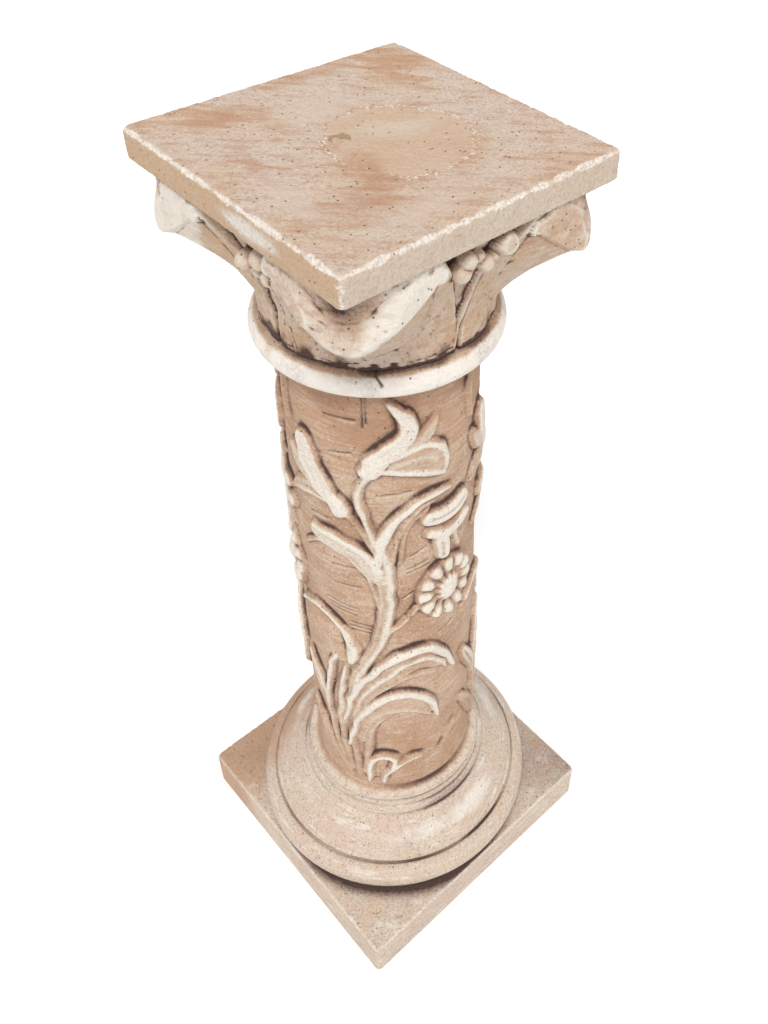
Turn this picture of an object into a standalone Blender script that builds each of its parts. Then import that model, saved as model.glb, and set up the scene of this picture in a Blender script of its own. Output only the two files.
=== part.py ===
"""Pedestal column of cast stone: moulded base, carved shaft and a capital of four corner leaves.

The three castings stand on one another with a thin joint. Metres, +Z up, the origin in the middle
of the underside. The slab's and the plinth's sides are parallel to X and Y.
"""

import math

import bmesh
import bpy
import numpy as np

MM = 0.001

# Joints between the castings
JOINT = 0.3 * MM

# Base: square plinth, torus, cyma slope and a bead
PLINTH_SIDE = 281 * MM
PLINTH_HEIGHT = 46.6 * MM
PLINTH_ROUNDING = 3 * MM
TORUS_RADIUS = 140 * MM
TORUS_BULGE = 13.5 * MM
TORUS_HEIGHT = 31 * MM
TORUS_UNDERCUT = 7 * MM
TORUS_UNDERCUT_HEIGHT = 4.2 * MM
TORUS_LIP_HEIGHT = 14 * MM
TORUS_STEPS = 4
GROOVE_DEPTH = 1.6 * MM
CYMA_TOP_RADIUS = 91 * MM
CYMA_HEIGHT = 40.4 * MM
CYMA_STEPS = 9
BEAD_RADIUS = 88.5 * MM
BEAD_HEIGHT = 6.7 * MM
BEAD_ROUNDING = 2.4 * MM
TURNING_SINK = 6 * MM
BASE_STEPS = 44

# Shaft: flared foot, tapering carved drum and the ring under the capital
FOOT_RADIUS = 87 * MM
FOOT_HEIGHT = 16 * MM
FOOT_CHAMFER = 2 * MM
FLARE_HEIGHT = 11.2 * MM
FLARE_STEPS = 4
SHAFT_FOOT_RADIUS = 77 * MM
SHAFT_TOP_RADIUS = 74.5 * MM
SHAFT_LENGTH = 514 * MM
RING_RADIUS = 92.2 * MM
RING_HEIGHT = 22 * MM
RING_TUBE = 10.4 * MM
RING_MIDDLE = 10.6 * MM
RING_ARC = math.radians(160)
RING_STEPS = 8
SEAT_RADIUS = 79.5 * MM

# Carving of the shaft, drawn in degrees and mm on a drum of the drawn size
REPEATS = 3
PATTERN_TURN = math.radians(-45)
DRAWN_LENGTH = 514
DRAWN_RADIUS = 76
RELIEF = 1.0
END_FADE = 8
END_RELIEF = 0.1
CARVING_ROWS = 200
CARVING_COLUMNS = 228
SHAFT_TRIANGLES = 4500

# Rosette of the carving: its place as (angle, height), and rises in mm
ROSETTE_PLACE = (45, 286)
ROSETTE_HALF_WIDTH = 30
ROSETTE_HALF_HEIGHT = 38
ROSETTE_PETALS = 12
PETAL_RISE = 3.5
PETAL_CROWN = 3.0
PETAL_EDGE = 0.16
BUTTON_RADIUS = 11
BUTTON_RISE = 8.0
MOAT_REACH = 1.25
MOAT_WIDTH = 0.2
MOAT_DEPTH = 0.55

# Cross-section of a carved leaf, as shares of its half width and of its rise
FLAT_EDGE = 0.35
SHEET_EDGE = 0.2
SHEET_RISE = 0.4
ROLL_PLACE = 0.6
ROLL_WIDTH = 0.4
RIDGE_PLACE = -0.78
RIDGE_WIDTH = 0.2
RIDGE_RISE = 0.65

# Capital: bell, four corner leaves with turned-over tips, fleurons and the slab
BELL_RADIUS = 80 * MM
BELL_FLARE = 27 * MM
BELL_HEIGHT = 100.7 * MM
LEAF_REACH = 56 * MM
LEAF_CURVE = 1.6
LEAF_STEP = 4 * MM
STALK_WIDTH = 4.5 * MM
STALK_RISE = 4.5 * MM
TIP_RADIUS = 147 * MM
TIP_FALL = 51 * MM
TIP_END = 13 * MM
TIP_TAPER = 26 * MM
TIP_LEAN = 8 * MM
LIP_ROUNDING = 4 * MM
RIM_CURVE = 1.2
TAPER_CURVE = 0.8
LOBE_RADIUS = 7.5 * MM
LOBE_STANDOFF = 3 * MM
LOBE_LIFT = 5.3 * MM
SLAB_SIDE = 226 * MM
SLAB_THICKNESS = 22 * MM
SLAB_ROUNDING = 2 * MM
EDGE_MARGIN = 1 * MM
BELL_ROWS = 56
BELL_COLUMNS = 264
BELL_TRIANGLES = 1900

# Angles of the capital from a corner's diagonal, in degrees
LEAF_KEEL = 4
LEAF_FADE = 57
LEAF_EDGE = 44.5
LEAF_EDGE_TURN = 18
LEAF_EDGE_SLOPE = 2
TIP_SPREAD = 26

# Fleurons: direction of the face, turn from its middle in degrees, fall below the slab
LOBE_SPREAD = 7.5
FLEURONS = ((0, 2, 24 * MM), (90, 2, 24 * MM), (180, 2, 24 * MM), (270, 6, 32 * MM))

# Heights of the joints and shoulders, from the ground up
PLINTH_TOP = PLINTH_HEIGHT
TORUS_TOP = PLINTH_TOP + TORUS_HEIGHT
CYMA_TOP = TORUS_TOP + CYMA_HEIGHT
BASE_TOP = CYMA_TOP + BEAD_HEIGHT
SHAFT_BOTTOM = BASE_TOP + JOINT
CARVING_BOTTOM = SHAFT_BOTTOM + FOOT_HEIGHT
CARVING_TOP = CARVING_BOTTOM + SHAFT_LENGTH
SHAFT_TOP = CARVING_TOP + RING_HEIGHT
CAPITAL_BOTTOM = SHAFT_TOP + JOINT
SLAB_BOTTOM = CAPITAL_BOTTOM + BELL_HEIGHT

# One repeat of the carving, drawn flat: angle in degrees, height in mm above the flared foot.
# Each stroke has the points of its middle line, its half widths, its rise and its section.
STROKES = (
    ("trunk", [(-17, 4), (-23, 60), (-24, 110), (-21, 170)], (9, 19, 19, 8), 3.0, "flat"),
    ("main stem", [(-28, 97), (-18, 170), (-9, 204), (1, 240), (6, 290), (5, 335), (1, 358)],
     (2.5, 5.5, 5.5, 6.5, 7.5, 5), 5.0, "round"),
    ("left rib", [(-29, 203), (-32, 170), (-37, 129), (-38, 105), (-34, 68), (-26, 31), (-20, 10)],
     (3, 3.5, 3), 4.5, "round"),
    ("middle rib", [(-8, 162), (-15, 142), (-22, 110), (-23, 75)], (3, 3.5, 2), 4.0, "round"),
    ("right rib", [(0, 121), (-6, 98), (-9, 68), (-12, 30), (-13, 6)], (3, 3.2, 3), 4.5, "round"),
    ("hook", [(-11, 18), (-11, 44), (-8, 60), (-2, 70), (4, 70), (7, 62), (6, 52), (2, 45)],
     (3, 4, 4.5, 3), 5.5, "round"),
    ("leaflet", [(-3, 12), (-1, 31), (4, 43), (12, 53), (20, 58), (26, 56)],
     (3, 3.5, 5, 4.5, 1.5), 5.0, "round"),
    ("small leaf", [(41, 42), (48, 60), (54, 71)], (2, 5, 2), 4.5, "round"),
    ("low left leaf", [(-57, 109), (-51, 91), (-45, 71), (-38, 47), (-31, 25), (-26, 8)],
     (4, 6, 5, 4), 5.0, "round"),
    ("high left leaf", [(-55, 191), (-49, 172), (-44, 152), (-41, 134)], (3, 6, 5, 3), 5.0, "round"),
    ("low right leaf", [(-20, 109), (-12, 124), (-4, 137), (5, 147), (14, 149), (23, 143), (30, 131),
                        (34, 117)], (4, 10, 15, 16, 16, 14, 11, 5), 6.5, "roll on the left"),
    ("high right leaf", [(-18, 155), (-10, 175), (0, 192), (10, 203), (20, 208), (30, 206), (38, 198),
                         (45, 181)], (4, 9, 14, 17, 17, 16, 12, 5), 7.0, "roll on the left"),
    ("folded leaf", [(-58, 247), (-48, 259), (-39, 262), (-30, 255), (-23, 242), (-18, 225), (-18, 208),
                     (-20, 200)], (5, 6, 6.5, 7.5, 7, 4), 6.0, "round"),
    ("folded leaf's sheet", [(-52, 234), (-42, 233), (-34, 220), (-30, 204)], (10, 14, 12, 6), 3.0,
     "flat"),
    ("long left leaf", [(6, 299), (0, 328), (-9, 345), (-19, 353), (-29, 355), (-37, 348), (-43, 338)],
     (5, 10, 13, 13, 12, 3), 6.0, "roll on the right"),
    ("long right leaf", [(7, 329), (8, 356), (10, 375), (15, 390), (24, 402), (33, 407), (42, 407),
                         (50, 397)], (6, 8, 9, 9, 9, 6), 5.5, "roll on the left"),
    ("rosette stem", [(-1, 228), (5, 247), (11, 255), (17, 264)], (3.5, 3.5), 4.5, "round"),
    ("stem bead", [(20, 269), (24, 276)], (3.5, 3.5), 4.5, "round"),
    ("bud's upper lobe", [(31, 388), (38, 381), (46, 378), (55, 383)], (7, 8, 7), 7.0, "round"),
    ("bud's lower lobe", [(29, 369), (36, 362), (44, 358), (54, 362)], (5, 6, 5), 6.0, "round"),
    ("bud's drop", [(38, 350), (39, 333)], (7, 6.5), 6.0, "round"),
    ("bud's slender drop", [(47, 350), (49, 335), (54, 327)], (4, 4), 4.5, "round"),
    ("left tulip's stem", [(-1, 358), (-7, 373), (-17, 390)], (2.5, 3), 4.0, "round"),
    ("left tulip's calyx", [(-16, 394), (-21, 407)], (8, 8), 7.0, "round"),
    ("left tulip's tall petal", [(-21, 409), (-27, 426), (-32, 443), (-35, 461)], (6, 9, 10, 9), 5.0,
     "round"),
    ("left tulip's low petal", [(-24, 407), (-33, 413), (-42, 418), (-50, 417)], (5, 8, 9, 8), 4.5,
     "round"),
    ("tulip's stem", [(-2, 350), (-3, 376), (-7, 396), (-7, 414), (-1, 431)], (3, 4, 4), 5.0, "round"),
    ("tulip's calyx", [(-2, 434), (5, 449)], (8, 9), 7.0, "round"),
    ("tulip's curved petal", [(2, 447), (8, 463), (15, 475), (18, 487), (15, 497), (11, 504)],
     (7, 7.5, 7, 4.5, 1.5), 6.0, "round"),
    ("tulip's back petal", [(24, 463), (29, 474), (32, 484)], (5, 6, 4), 3.0, "flat"),
    ("tulip's pad", [(12, 446), (26, 446), (34, 438)], (5, 10, 8), 2.5, "flat"),
    ("tulip's upper finger", [(7, 450), (15, 460), (24, 465), (32, 465)], (3, 3.4, 3), 5.0, "round"),
    ("tulip's middle finger", [(13, 449), (21, 455), (29, 455), (35, 449), (38, 440)], (3, 4, 4), 4.5,
     "round"),
    ("tulip's lower finger", [(7, 441), (16, 441), (25, 436), (33, 429), (37, 425)], (4, 5, 3), 5.0,
     "round"),
    ("top spur", [(-57, 458), (-58, 484), (-57, 508)], (3, 4, 2), 4.0, "round"),
)


def clear_scene():
    """Remove every object of the scene."""
    for thing in list(bpy.data.objects):
        bpy.data.objects.remove(thing)


def new_collection(name):
    """A collection of that name under the scene's own."""
    group = bpy.data.collections.new(name)
    bpy.context.scene.collection.children.link(group)
    return group


def stone(name, colour, roughness):
    """Principled material of cast stone."""
    material = bpy.data.materials.new(name)
    material.use_nodes = True
    shader = material.node_tree.nodes["Principled BSDF"]
    shader.inputs["Base Color"].default_value = (*colour, 1.0)
    shader.inputs["Roughness"].default_value = roughness
    shader.inputs["Metallic"].default_value = 0.0
    return material


def place(name, mesh, group):
    """Link a new object with that mesh into a collection."""
    thing = bpy.data.objects.new(name, mesh)
    group.objects.link(thing)
    return thing


def turned(name, profile, steps, group):
    """Turn a profile of (radius, height), read from top to bottom, about Z."""
    mesh = bpy.data.meshes.new(name)
    points = [(radius, 0.0, height) for radius, height in profile]
    edges = [(i, i + 1) for i in range(len(points) - 1)]
    mesh.from_pydata(points, edges, [])
    thing = place(name, mesh, group)
    screw = thing.modifiers.new("turn", "SCREW")
    screw.steps = steps
    screw.render_steps = steps
    screw.use_merge_vertices = True
    screw.merge_threshold = 0.02 * MM
    screw.use_smooth_shade = True
    return thing


def settled(thing):
    """Put the evaluated shape into the object and drop its modifiers."""
    shape = thing.evaluated_get(bpy.context.evaluated_depsgraph_get())
    mesh = bpy.data.meshes.new_from_object(shape)
    thing.modifiers.clear()
    thing.data = mesh
    return thing


def block(name, side, height, bottom, rounding, group):
    """Square block with rounded edges that stands at a height."""
    mesh = bpy.data.meshes.new(name)
    cage = bmesh.new()
    bmesh.ops.create_cube(cage, size=1.0)
    bmesh.ops.scale(cage, vec=(side, side, height), verts=cage.verts)
    bmesh.ops.translate(cage, vec=(0, 0, bottom + height / 2), verts=cage.verts)
    cage.to_mesh(mesh)
    cage.free()
    thing = place(name, mesh, group)
    bevel = thing.modifiers.new("rounding", "BEVEL")
    bevel.width = rounding
    bevel.segments = 2
    return thing


def joined(thing, others):
    """Boolean union of a piece with its parts, which become cutters."""
    for other in others:
        other.hide_render = True
        other.display_type = "WIRE"
        union = thing.modifiers.new("join " + other.name, "BOOLEAN")
        union.operation = "UNION"
        union.solver = "EXACT"
        union.object = other


def thinned(thing, triangles):
    """Spend only so many triangles on a finely carved piece."""
    thing.data.calc_loop_triangles()
    decimate = thing.modifiers.new("thin", "DECIMATE")
    decimate.ratio = min(1.0, triangles / len(thing.data.loop_triangles))


def smoothstep(value):
    """Ease from 0 to 1."""
    value = np.clip(value, 0.0, 1.0)
    return value * value * (3 - 2 * value)


# Base

def base_profile():
    """Outline of the turned part of the base, from the axis at the top to the axis in the plinth."""
    outline = [(0.0, BASE_TOP), (BEAD_RADIUS - BEAD_ROUNDING, BASE_TOP)]
    outline += [(BEAD_RADIUS, BASE_TOP - BEAD_ROUNDING), (BEAD_RADIUS, CYMA_TOP)]
    foot = TORUS_RADIUS - TORUS_BULGE
    fall = CYMA_HEIGHT - GROOVE_DEPTH
    for step in range(CYMA_STEPS + 1):
        share = step / CYMA_STEPS
        radius = CYMA_TOP_RADIUS + (foot - CYMA_TOP_RADIUS) * float(smoothstep(share))
        outline.append((radius, CYMA_TOP - fall * share))
    outline.append((foot - GROOVE_DEPTH, TORUS_TOP))
    lip = PLINTH_TOP + TORUS_LIP_HEIGHT
    for step in range(TORUS_STEPS + 1):
        angle = math.pi / 2 * (1 - step / TORUS_STEPS)
        outline.append((foot + TORUS_BULGE * math.cos(angle),
                        lip + (TORUS_TOP - lip) * math.sin(angle)))
    outline.append((TORUS_RADIUS - TORUS_UNDERCUT, PLINTH_TOP + TORUS_UNDERCUT_HEIGHT))
    outline.append((TORUS_RADIUS - TORUS_UNDERCUT, PLINTH_TOP - TURNING_SINK))
    outline.append((0.0, PLINTH_TOP - TURNING_SINK))
    return outline


def make_base(group, cutters):
    """Plinth and turned mouldings as one casting."""
    base = block("base", PLINTH_SIDE, PLINTH_HEIGHT, 0.0, PLINTH_ROUNDING, group)
    mouldings = turned("base_mouldings", base_profile(), BASE_STEPS, cutters)
    joined(base, [mouldings])
    return base


# Carving of the shaft

def smooth_line(points, steps=6):
    """Points along a smooth curve through a few points."""
    knots = np.array([points[0], *points, points[-1]], dtype=float)
    share = np.linspace(0, 1, steps, endpoint=False)[:, None]
    runs = []
    for a, b, c, d in zip(knots, knots[1:], knots[2:], knots[3:]):
        runs.append(0.5 * (2 * b + (c - a) * share + (2 * a - 5 * b + 4 * c - d) * share ** 2
                           + (3 * b - a - 3 * c + d) * share ** 3))
    return np.vstack([*runs, knots[-1:]])


def along_and_across(line, widths, across, up):
    """Place of each drawn point beside a stroke: share of its half width, left side positive."""
    nearest = np.full(across.shape, np.inf)
    side = np.zeros(across.shape)
    for index in range(len(line) - 1):
        start, run = line[index], line[index + 1] - line[index]
        length = np.dot(run, run)
        share = np.clip(((across - start[0]) * run[0] + (up - start[1]) * run[1]) / length, 0, 1)
        gap_across = across - start[0] - share * run[0]
        gap_up = up - start[1] - share * run[1]
        gap = np.hypot(gap_across, gap_up)
        width = widths[index] + share * (widths[index + 1] - widths[index])
        offset = gap / width
        sign = np.where(run[0] * gap_up - run[1] * gap_across >= 0, 1.0, -1.0)
        closer = offset < nearest
        nearest = np.where(closer, offset, nearest)
        side = np.where(closer, sign * offset, side)
    return side


def section_height(side, section):
    """Height of a stroke's cross-section, 0 to 1, at a share of its half width."""
    reach = np.abs(side)
    if section == "round":
        return np.sqrt(np.clip(1 - reach ** 2, 0, 1))
    if section == "flat":
        return smoothstep((1 - reach) / FLAT_EDGE)
    if section == "roll on the right":
        side = -side
    roll = np.sqrt(np.clip(1 - ((side - ROLL_PLACE) / ROLL_WIDTH) ** 2, 0, 1))
    sheet = SHEET_RISE * smoothstep((1 - reach) / SHEET_EDGE)
    ridge = RIDGE_RISE * np.sqrt(np.clip(1 - ((side - RIDGE_PLACE) / RIDGE_WIDTH) ** 2, 0, 1))
    return np.maximum(np.maximum(roll, sheet), ridge)


def rosette_height(across, up):
    """Round flower: petals like spoons about a domed button."""
    middle = math.radians(ROSETTE_PLACE[0]) * DRAWN_RADIUS
    right = (across - middle) / ROSETTE_HALF_WIDTH
    rise = (up - ROSETTE_PLACE[1]) / ROSETTE_HALF_HEIGHT
    reach = np.hypot(right, rise)
    turn = np.arctan2(rise, right) * ROSETTE_PETALS / 2
    petals = (PETAL_RISE + PETAL_CROWN * np.abs(np.cos(turn))) * smoothstep((1 - reach) / PETAL_EDGE)
    button = BUTTON_RADIUS / ROSETTE_HALF_WIDTH
    moat = 1 - MOAT_DEPTH * smoothstep(1 - np.abs(reach - button * MOAT_REACH) / MOAT_WIDTH)
    dome = BUTTON_RISE * np.sqrt(np.clip(1 - (reach / button) ** 2, 0, 1))
    return np.maximum(petals * moat, dome)


def carving(angles, heights):
    """Rise of the carving in mm on a grid of angles in degrees and drawn heights in mm."""
    period = 360 / REPEATS
    columns = (angles + period / 2) % period - period / 2
    across, up = np.meshgrid(np.radians(columns) * DRAWN_RADIUS, heights)
    relief = np.zeros(across.shape)
    for shift in (-period, 0, period):
        moved = across - math.radians(shift) * DRAWN_RADIUS
        relief = np.maximum(relief, rosette_height(moved, up))
        for _, points, half_widths, rise, section in STROKES:
            line = smooth_line(points)
            line[:, 0] = np.radians(line[:, 0]) * DRAWN_RADIUS
            widths = np.interp(np.linspace(0, 1, len(line)), np.linspace(0, 1, len(half_widths)),
                               half_widths)
            side = along_and_across(line, widths, moved, up)
            relief = np.maximum(relief, rise * section_height(side, section))
    ends = np.minimum(heights, DRAWN_LENGTH - heights)[:, None]
    return relief * smoothstep(ends / END_FADE + END_RELIEF)


def shaft_profile():
    """Outline of the shaft from the axis at the top to the axis at the foot."""
    tube_middle = RING_RADIUS - RING_TUBE
    ring_height = CARVING_TOP + RING_MIDDLE
    outline = [(0.0, SHAFT_TOP), (SEAT_RADIUS, SHAFT_TOP)]
    for step in range(RING_STEPS + 1):
        angle = RING_ARC * (0.5 - step / RING_STEPS)
        outline.append((tube_middle + RING_TUBE * math.cos(angle),
                        ring_height + RING_TUBE * math.sin(angle)))
    for row in range(CARVING_ROWS + 1):
        share = row / CARVING_ROWS
        outline.append((SHAFT_TOP_RADIUS + (SHAFT_FOOT_RADIUS - SHAFT_TOP_RADIUS) * share,
                        CARVING_TOP - SHAFT_LENGTH * share))
    for step in range(1, FLARE_STEPS + 1):
        angle = math.pi / 2 * step / FLARE_STEPS
        outline.append((SHAFT_FOOT_RADIUS + (FOOT_RADIUS - SHAFT_FOOT_RADIUS) * (1 - math.cos(angle)),
                        CARVING_BOTTOM - FLARE_HEIGHT * math.sin(angle)))
    outline.append((FOOT_RADIUS, SHAFT_BOTTOM + FOOT_CHAMFER))
    outline.append((FOOT_RADIUS - FOOT_CHAMFER, SHAFT_BOTTOM))
    outline.append((0.0, SHAFT_BOTTOM))
    return outline


def make_shaft(group):
    """Tapering drum with its carving, foot and ring."""
    shaft = settled(turned("shaft", shaft_profile(), CARVING_COLUMNS, group))
    count = len(shaft.data.vertices)
    points = np.empty(count * 3)
    shaft.data.vertices.foreach_get("co", points)
    points = points.reshape(count, 3)
    angle = np.degrees(np.arctan2(points[:, 1], points[:, 0]) - PATTERN_TURN) % 360
    drawn = (points[:, 2] - CARVING_BOTTOM) * DRAWN_LENGTH / SHAFT_LENGTH
    radius = np.hypot(points[:, 0], points[:, 1])
    carved = (drawn > 0) & (drawn < DRAWN_LENGTH)
    grid_angles = np.arange(CARVING_COLUMNS) * 360 / CARVING_COLUMNS
    grid_heights = np.linspace(0, DRAWN_LENGTH, CARVING_ROWS + 1)
    relief = carving(grid_angles, grid_heights)
    column = np.rint(angle * CARVING_COLUMNS / 360).astype(int) % CARVING_COLUMNS
    row = np.clip(np.rint(drawn * CARVING_ROWS / DRAWN_LENGTH).astype(int), 0, CARVING_ROWS)
    lift = np.where(carved, relief[row, column] * RELIEF * MM, 0.0)
    grow = 1 + lift / np.maximum(radius, MM)
    points[:, 0] *= grow
    points[:, 1] *= grow
    shaft.data.vertices.foreach_set("co", points.ravel())
    thinned(shaft, SHAFT_TRIANGLES)
    return shaft


# Capital

def bell_radius(share):
    """Radius of the bare bell at a share of its height."""
    return BELL_RADIUS + BELL_FLARE * share ** 2


def capital_radius(angle, share):
    """Radius of the bell and its leaves at an angle and a share of the bell's height."""
    from_corner = np.abs(angle % 90 - 45)
    bell = bell_radius(share)
    from_top = BELL_HEIGHT * (1 - share)
    spread = np.clip(from_corner / TIP_SPREAD, 0, 1)
    rim = TIP_FALL - (TIP_FALL - TIP_END) * spread ** RIM_CURVE
    rim_share = 1 - rim / BELL_HEIGHT
    breadth = 1 - (np.hypot(from_corner, LEAF_KEEL) - LEAF_KEEL) / LEAF_FADE
    body = BELL_RADIUS + LEAF_REACH * np.clip(share / rim_share, 0, 1) ** LEAF_CURVE * breadth
    leaf_edge = LEAF_EDGE - LEAF_EDGE_TURN * share ** 2
    leaf = bell + LEAF_STEP * smoothstep((leaf_edge - from_corner) / LEAF_EDGE_SLOPE)
    leaf = np.where(from_corner < leaf_edge, np.maximum(leaf, body), leaf)
    tip = TIP_RADIUS - TIP_TAPER * spread ** TAPER_CURVE
    above_rim = rim - from_top
    tip -= TIP_LEAN * smoothstep(above_rim / TIP_FALL)
    rounding = np.clip(1 - above_rim / LIP_ROUNDING, 0, 1)
    tip -= LIP_ROUNDING * (1 - np.sqrt(1 - rounding ** 2))
    leaf = np.where((above_rim > 0) & (from_corner < TIP_SPREAD), np.maximum(leaf, tip), leaf)
    stalk_side = np.radians(45 - from_corner) * bell / STALK_WIDTH
    stalk = bell + STALK_RISE * np.sqrt(np.clip(1 - stalk_side ** 2, 0, 1))
    radius = np.maximum(leaf, stalk)
    face = (SLAB_SIDE / 2 - EDGE_MARGIN) / np.cos(np.radians(45 - from_corner))
    return np.minimum(radius, face)


def make_bell(group):
    """Bell and corner leaves, turned as a drum and then pushed out to its form."""
    height = BELL_HEIGHT + SLAB_THICKNESS / 2
    outline = [(0.0, CAPITAL_BOTTOM + height)]
    for row in range(BELL_ROWS + 1):
        outline.append((BELL_RADIUS, CAPITAL_BOTTOM + height * (1 - row / BELL_ROWS)))
    outline.append((0.0, CAPITAL_BOTTOM))
    bell = settled(turned("bell", outline, BELL_COLUMNS, group))
    count = len(bell.data.vertices)
    points = np.empty(count * 3)
    bell.data.vertices.foreach_get("co", points)
    points = points.reshape(count, 3)
    radius = np.hypot(points[:, 0], points[:, 1])
    angle = np.degrees(np.arctan2(points[:, 1], points[:, 0]))
    share = np.clip((points[:, 2] - CAPITAL_BOTTOM) / BELL_HEIGHT, 0, 1)
    wanted = capital_radius(angle, share)
    grow = np.where(radius > BELL_RADIUS / 2, wanted / np.maximum(radius, BELL_RADIUS / 2), 1.0)
    points[:, 0] *= grow
    points[:, 1] *= grow
    bell.data.vertices.foreach_set("co", points.ravel())
    thinned(bell, BELL_TRIANGLES)
    return bell


def make_lobes(group):
    """Round lobes of the four fleurons, one ball each, close under the slab."""
    lobes = []
    for face, turn, drop in FLEURONS:
        reach = bell_radius(1 - drop / BELL_HEIGHT) + LOBE_STANDOFF
        for number, offset in enumerate((-LOBE_SPREAD, 0.0, LOBE_SPREAD)):
            angle = math.radians(face + turn + offset)
            height = SLAB_BOTTOM - drop + (LOBE_LIFT if offset else 0.0)
            mesh = bpy.data.meshes.new(f"lobe_{face}_{number}")
            ball = bmesh.new()
            bmesh.ops.create_uvsphere(ball, u_segments=7, v_segments=5, radius=LOBE_RADIUS)
            place_at = (reach * math.cos(angle), reach * math.sin(angle), height)
            bmesh.ops.translate(ball, vec=place_at, verts=ball.verts)
            ball.to_mesh(mesh)
            ball.free()
            lobes.append(place(mesh.name, mesh, group))
    return lobes


def make_capital(group, cutters):
    """Slab, bell, leaves and fleurons as one casting."""
    capital = block("capital", SLAB_SIDE, SLAB_THICKNESS, SLAB_BOTTOM, SLAB_ROUNDING, group)
    joined(capital, [make_bell(cutters), *make_lobes(cutters)])
    return capital


def main():
    """Model the three castings."""
    clear_scene()
    column = new_collection("pedestal_column")
    cutters = new_collection("cutters")
    base = make_base(column, cutters)
    shaft = make_shaft(column)
    capital = make_capital(column, cutters)
    base.data.materials.append(stone("base_stone", (0.60, 0.50, 0.40), 0.85))
    shaft.data.materials.append(stone("shaft_stone", (0.62, 0.47, 0.33), 0.85))
    capital.data.materials.append(stone("capital_stone", (0.66, 0.54, 0.44), 0.85))


if __name__ == "__main__":
    main()
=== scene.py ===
"""Pedestal column of cast stone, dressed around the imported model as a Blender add-on layout.

Three castings stand on one another: base, carved shaft and capital. Each is a fine mesh worked out
from the same sizes as its solid. The script is run as it is and needs no installing.
"""

import math

import bpy
import numpy as np
from bpy.props import FloatProperty, FloatVectorProperty, IntProperty, PointerProperty
from mathutils import Matrix, Vector


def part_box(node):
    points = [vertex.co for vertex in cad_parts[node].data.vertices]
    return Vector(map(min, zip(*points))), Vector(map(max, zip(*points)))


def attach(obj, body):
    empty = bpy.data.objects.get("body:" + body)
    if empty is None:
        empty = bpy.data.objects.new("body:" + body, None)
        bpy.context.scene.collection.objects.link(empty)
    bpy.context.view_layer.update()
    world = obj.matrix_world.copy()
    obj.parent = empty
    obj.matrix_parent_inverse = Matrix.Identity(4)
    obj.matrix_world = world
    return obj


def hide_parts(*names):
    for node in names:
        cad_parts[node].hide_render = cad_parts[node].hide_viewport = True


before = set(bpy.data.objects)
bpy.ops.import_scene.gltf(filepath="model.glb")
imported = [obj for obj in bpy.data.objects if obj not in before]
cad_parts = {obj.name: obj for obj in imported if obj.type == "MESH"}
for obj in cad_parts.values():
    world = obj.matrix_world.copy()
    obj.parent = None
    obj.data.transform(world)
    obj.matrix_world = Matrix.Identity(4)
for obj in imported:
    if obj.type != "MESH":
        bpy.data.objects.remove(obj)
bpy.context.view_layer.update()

bl_info = {
    "name": "Pedestal column",
    "version": (1, 0, 0),
    "blender": (4, 5, 0),
    "location": "View3D > Sidebar > Pedestal",
    "description": "Cast-stone pedestal column with a carved shaft and a leafy capital",
    "category": "Object",
}

MM = 0.001

# Base, in mm. A ridge of the cyma has its place and half width as shares of the slope, and its rise
PLINTH_SIDE = 281
PLINTH_HEIGHT = 46.6
PLINTH_CORNER = 5
PLINTH_ARRIS = 3
TORUS_RADIUS = 140
TORUS_FOOT = 133
TORUS_BULGE = 12.2
TORUS_HEIGHT = 31
TORUS_LIP = 14
GROOVE_WIDTH = 1.4
GROOVE_DEPTH = 1.5
CYMA_TOP_RADIUS = 91
CYMA_HEIGHT = 40.4
CYMA_FOOT_RADIUS = 125
CYMA_RIDGES = ((0.1, 0.035, 0.7), (0.19, 0.04, -0.7), (0.95, 0.03, 0.9))
BEAD_RADIUS = 88.5
BEAD_HEIGHT = 6.7
BEAD_ROUNDING = 2.4

# Shaft, in mm, and angles in degrees
JOINT = 0.3
FOOT_RADIUS = 87
FOOT_HEIGHT = 16
FOOT_CHAMFER = 2
FLARE_HEIGHT = 11.2
SHAFT_FOOT_RADIUS = 77
SHAFT_TOP_RADIUS = 74.5
SHAFT_LENGTH = 514
RING_RADIUS = 92.2
RING_HEIGHT = 22
RING_TUBE = 10.4
RING_MIDDLE = 10.6
CRACK_ANGLE = -39
CRACK_DEPTH = 1.1
SEAT_RADIUS = 79.5
REPEATS = 3
PATTERN_TURN = -45
DRAWN_RADIUS = 76
END_FADE = 8
GROUND_WAVES = 0.6
CARVING_WAVES = 0.12
TOOL_STROKES = 0.25

# Capital, in mm, and angles in degrees from a corner's diagonal
BELL_RADIUS = 80
BELL_FLARE = 27
BELL_HEIGHT = 100.7
LEAF_REACH = 56
LEAF_CURVE = 1.6
LEAF_STEP = 4
LEAF_KEEL = 7
LEAF_FADE = 57
LEAF_EDGE = 44.5
LEAF_EDGE_TURN = 18
TIP_RADIUS = 146
TIP_FALL = 52
FRONT_TIP_RADIUS = 139.5
FRONT_TIP_FALL = 48.5
FRONT_CORNER = 315
TIP_SIDE_RADIUS = 121
TIP_END = 10
TIP_SPREAD = 26
TIP_LEAN = 7
TIP_HOOK = 1
RIM_KEEL = 5
TIP_CURVE = 1.8
RIM_ROLL = 1.4
FOLD_DEPTH = 0.35
FOLD_SPACING = 8
FACE_WAVES = 1.2
RIM_ROUNDING = 7
STALK_WIDTH = 2.4
STALK_RISE = 4.5
SLAB_SIDE = 226
SLAB_THICKNESS = 22
SLAB_CORNER = 4
SLAB_ARRIS = 3.2
EDGE_MARGIN = 1
RIM_UNDERCUT = 0.8
BELL_WAVES = 0.55
BELL_KNOBS = 0.4
BROKEN_HEIGHT = 7
BROKEN_DEPTH = 2.6

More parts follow.
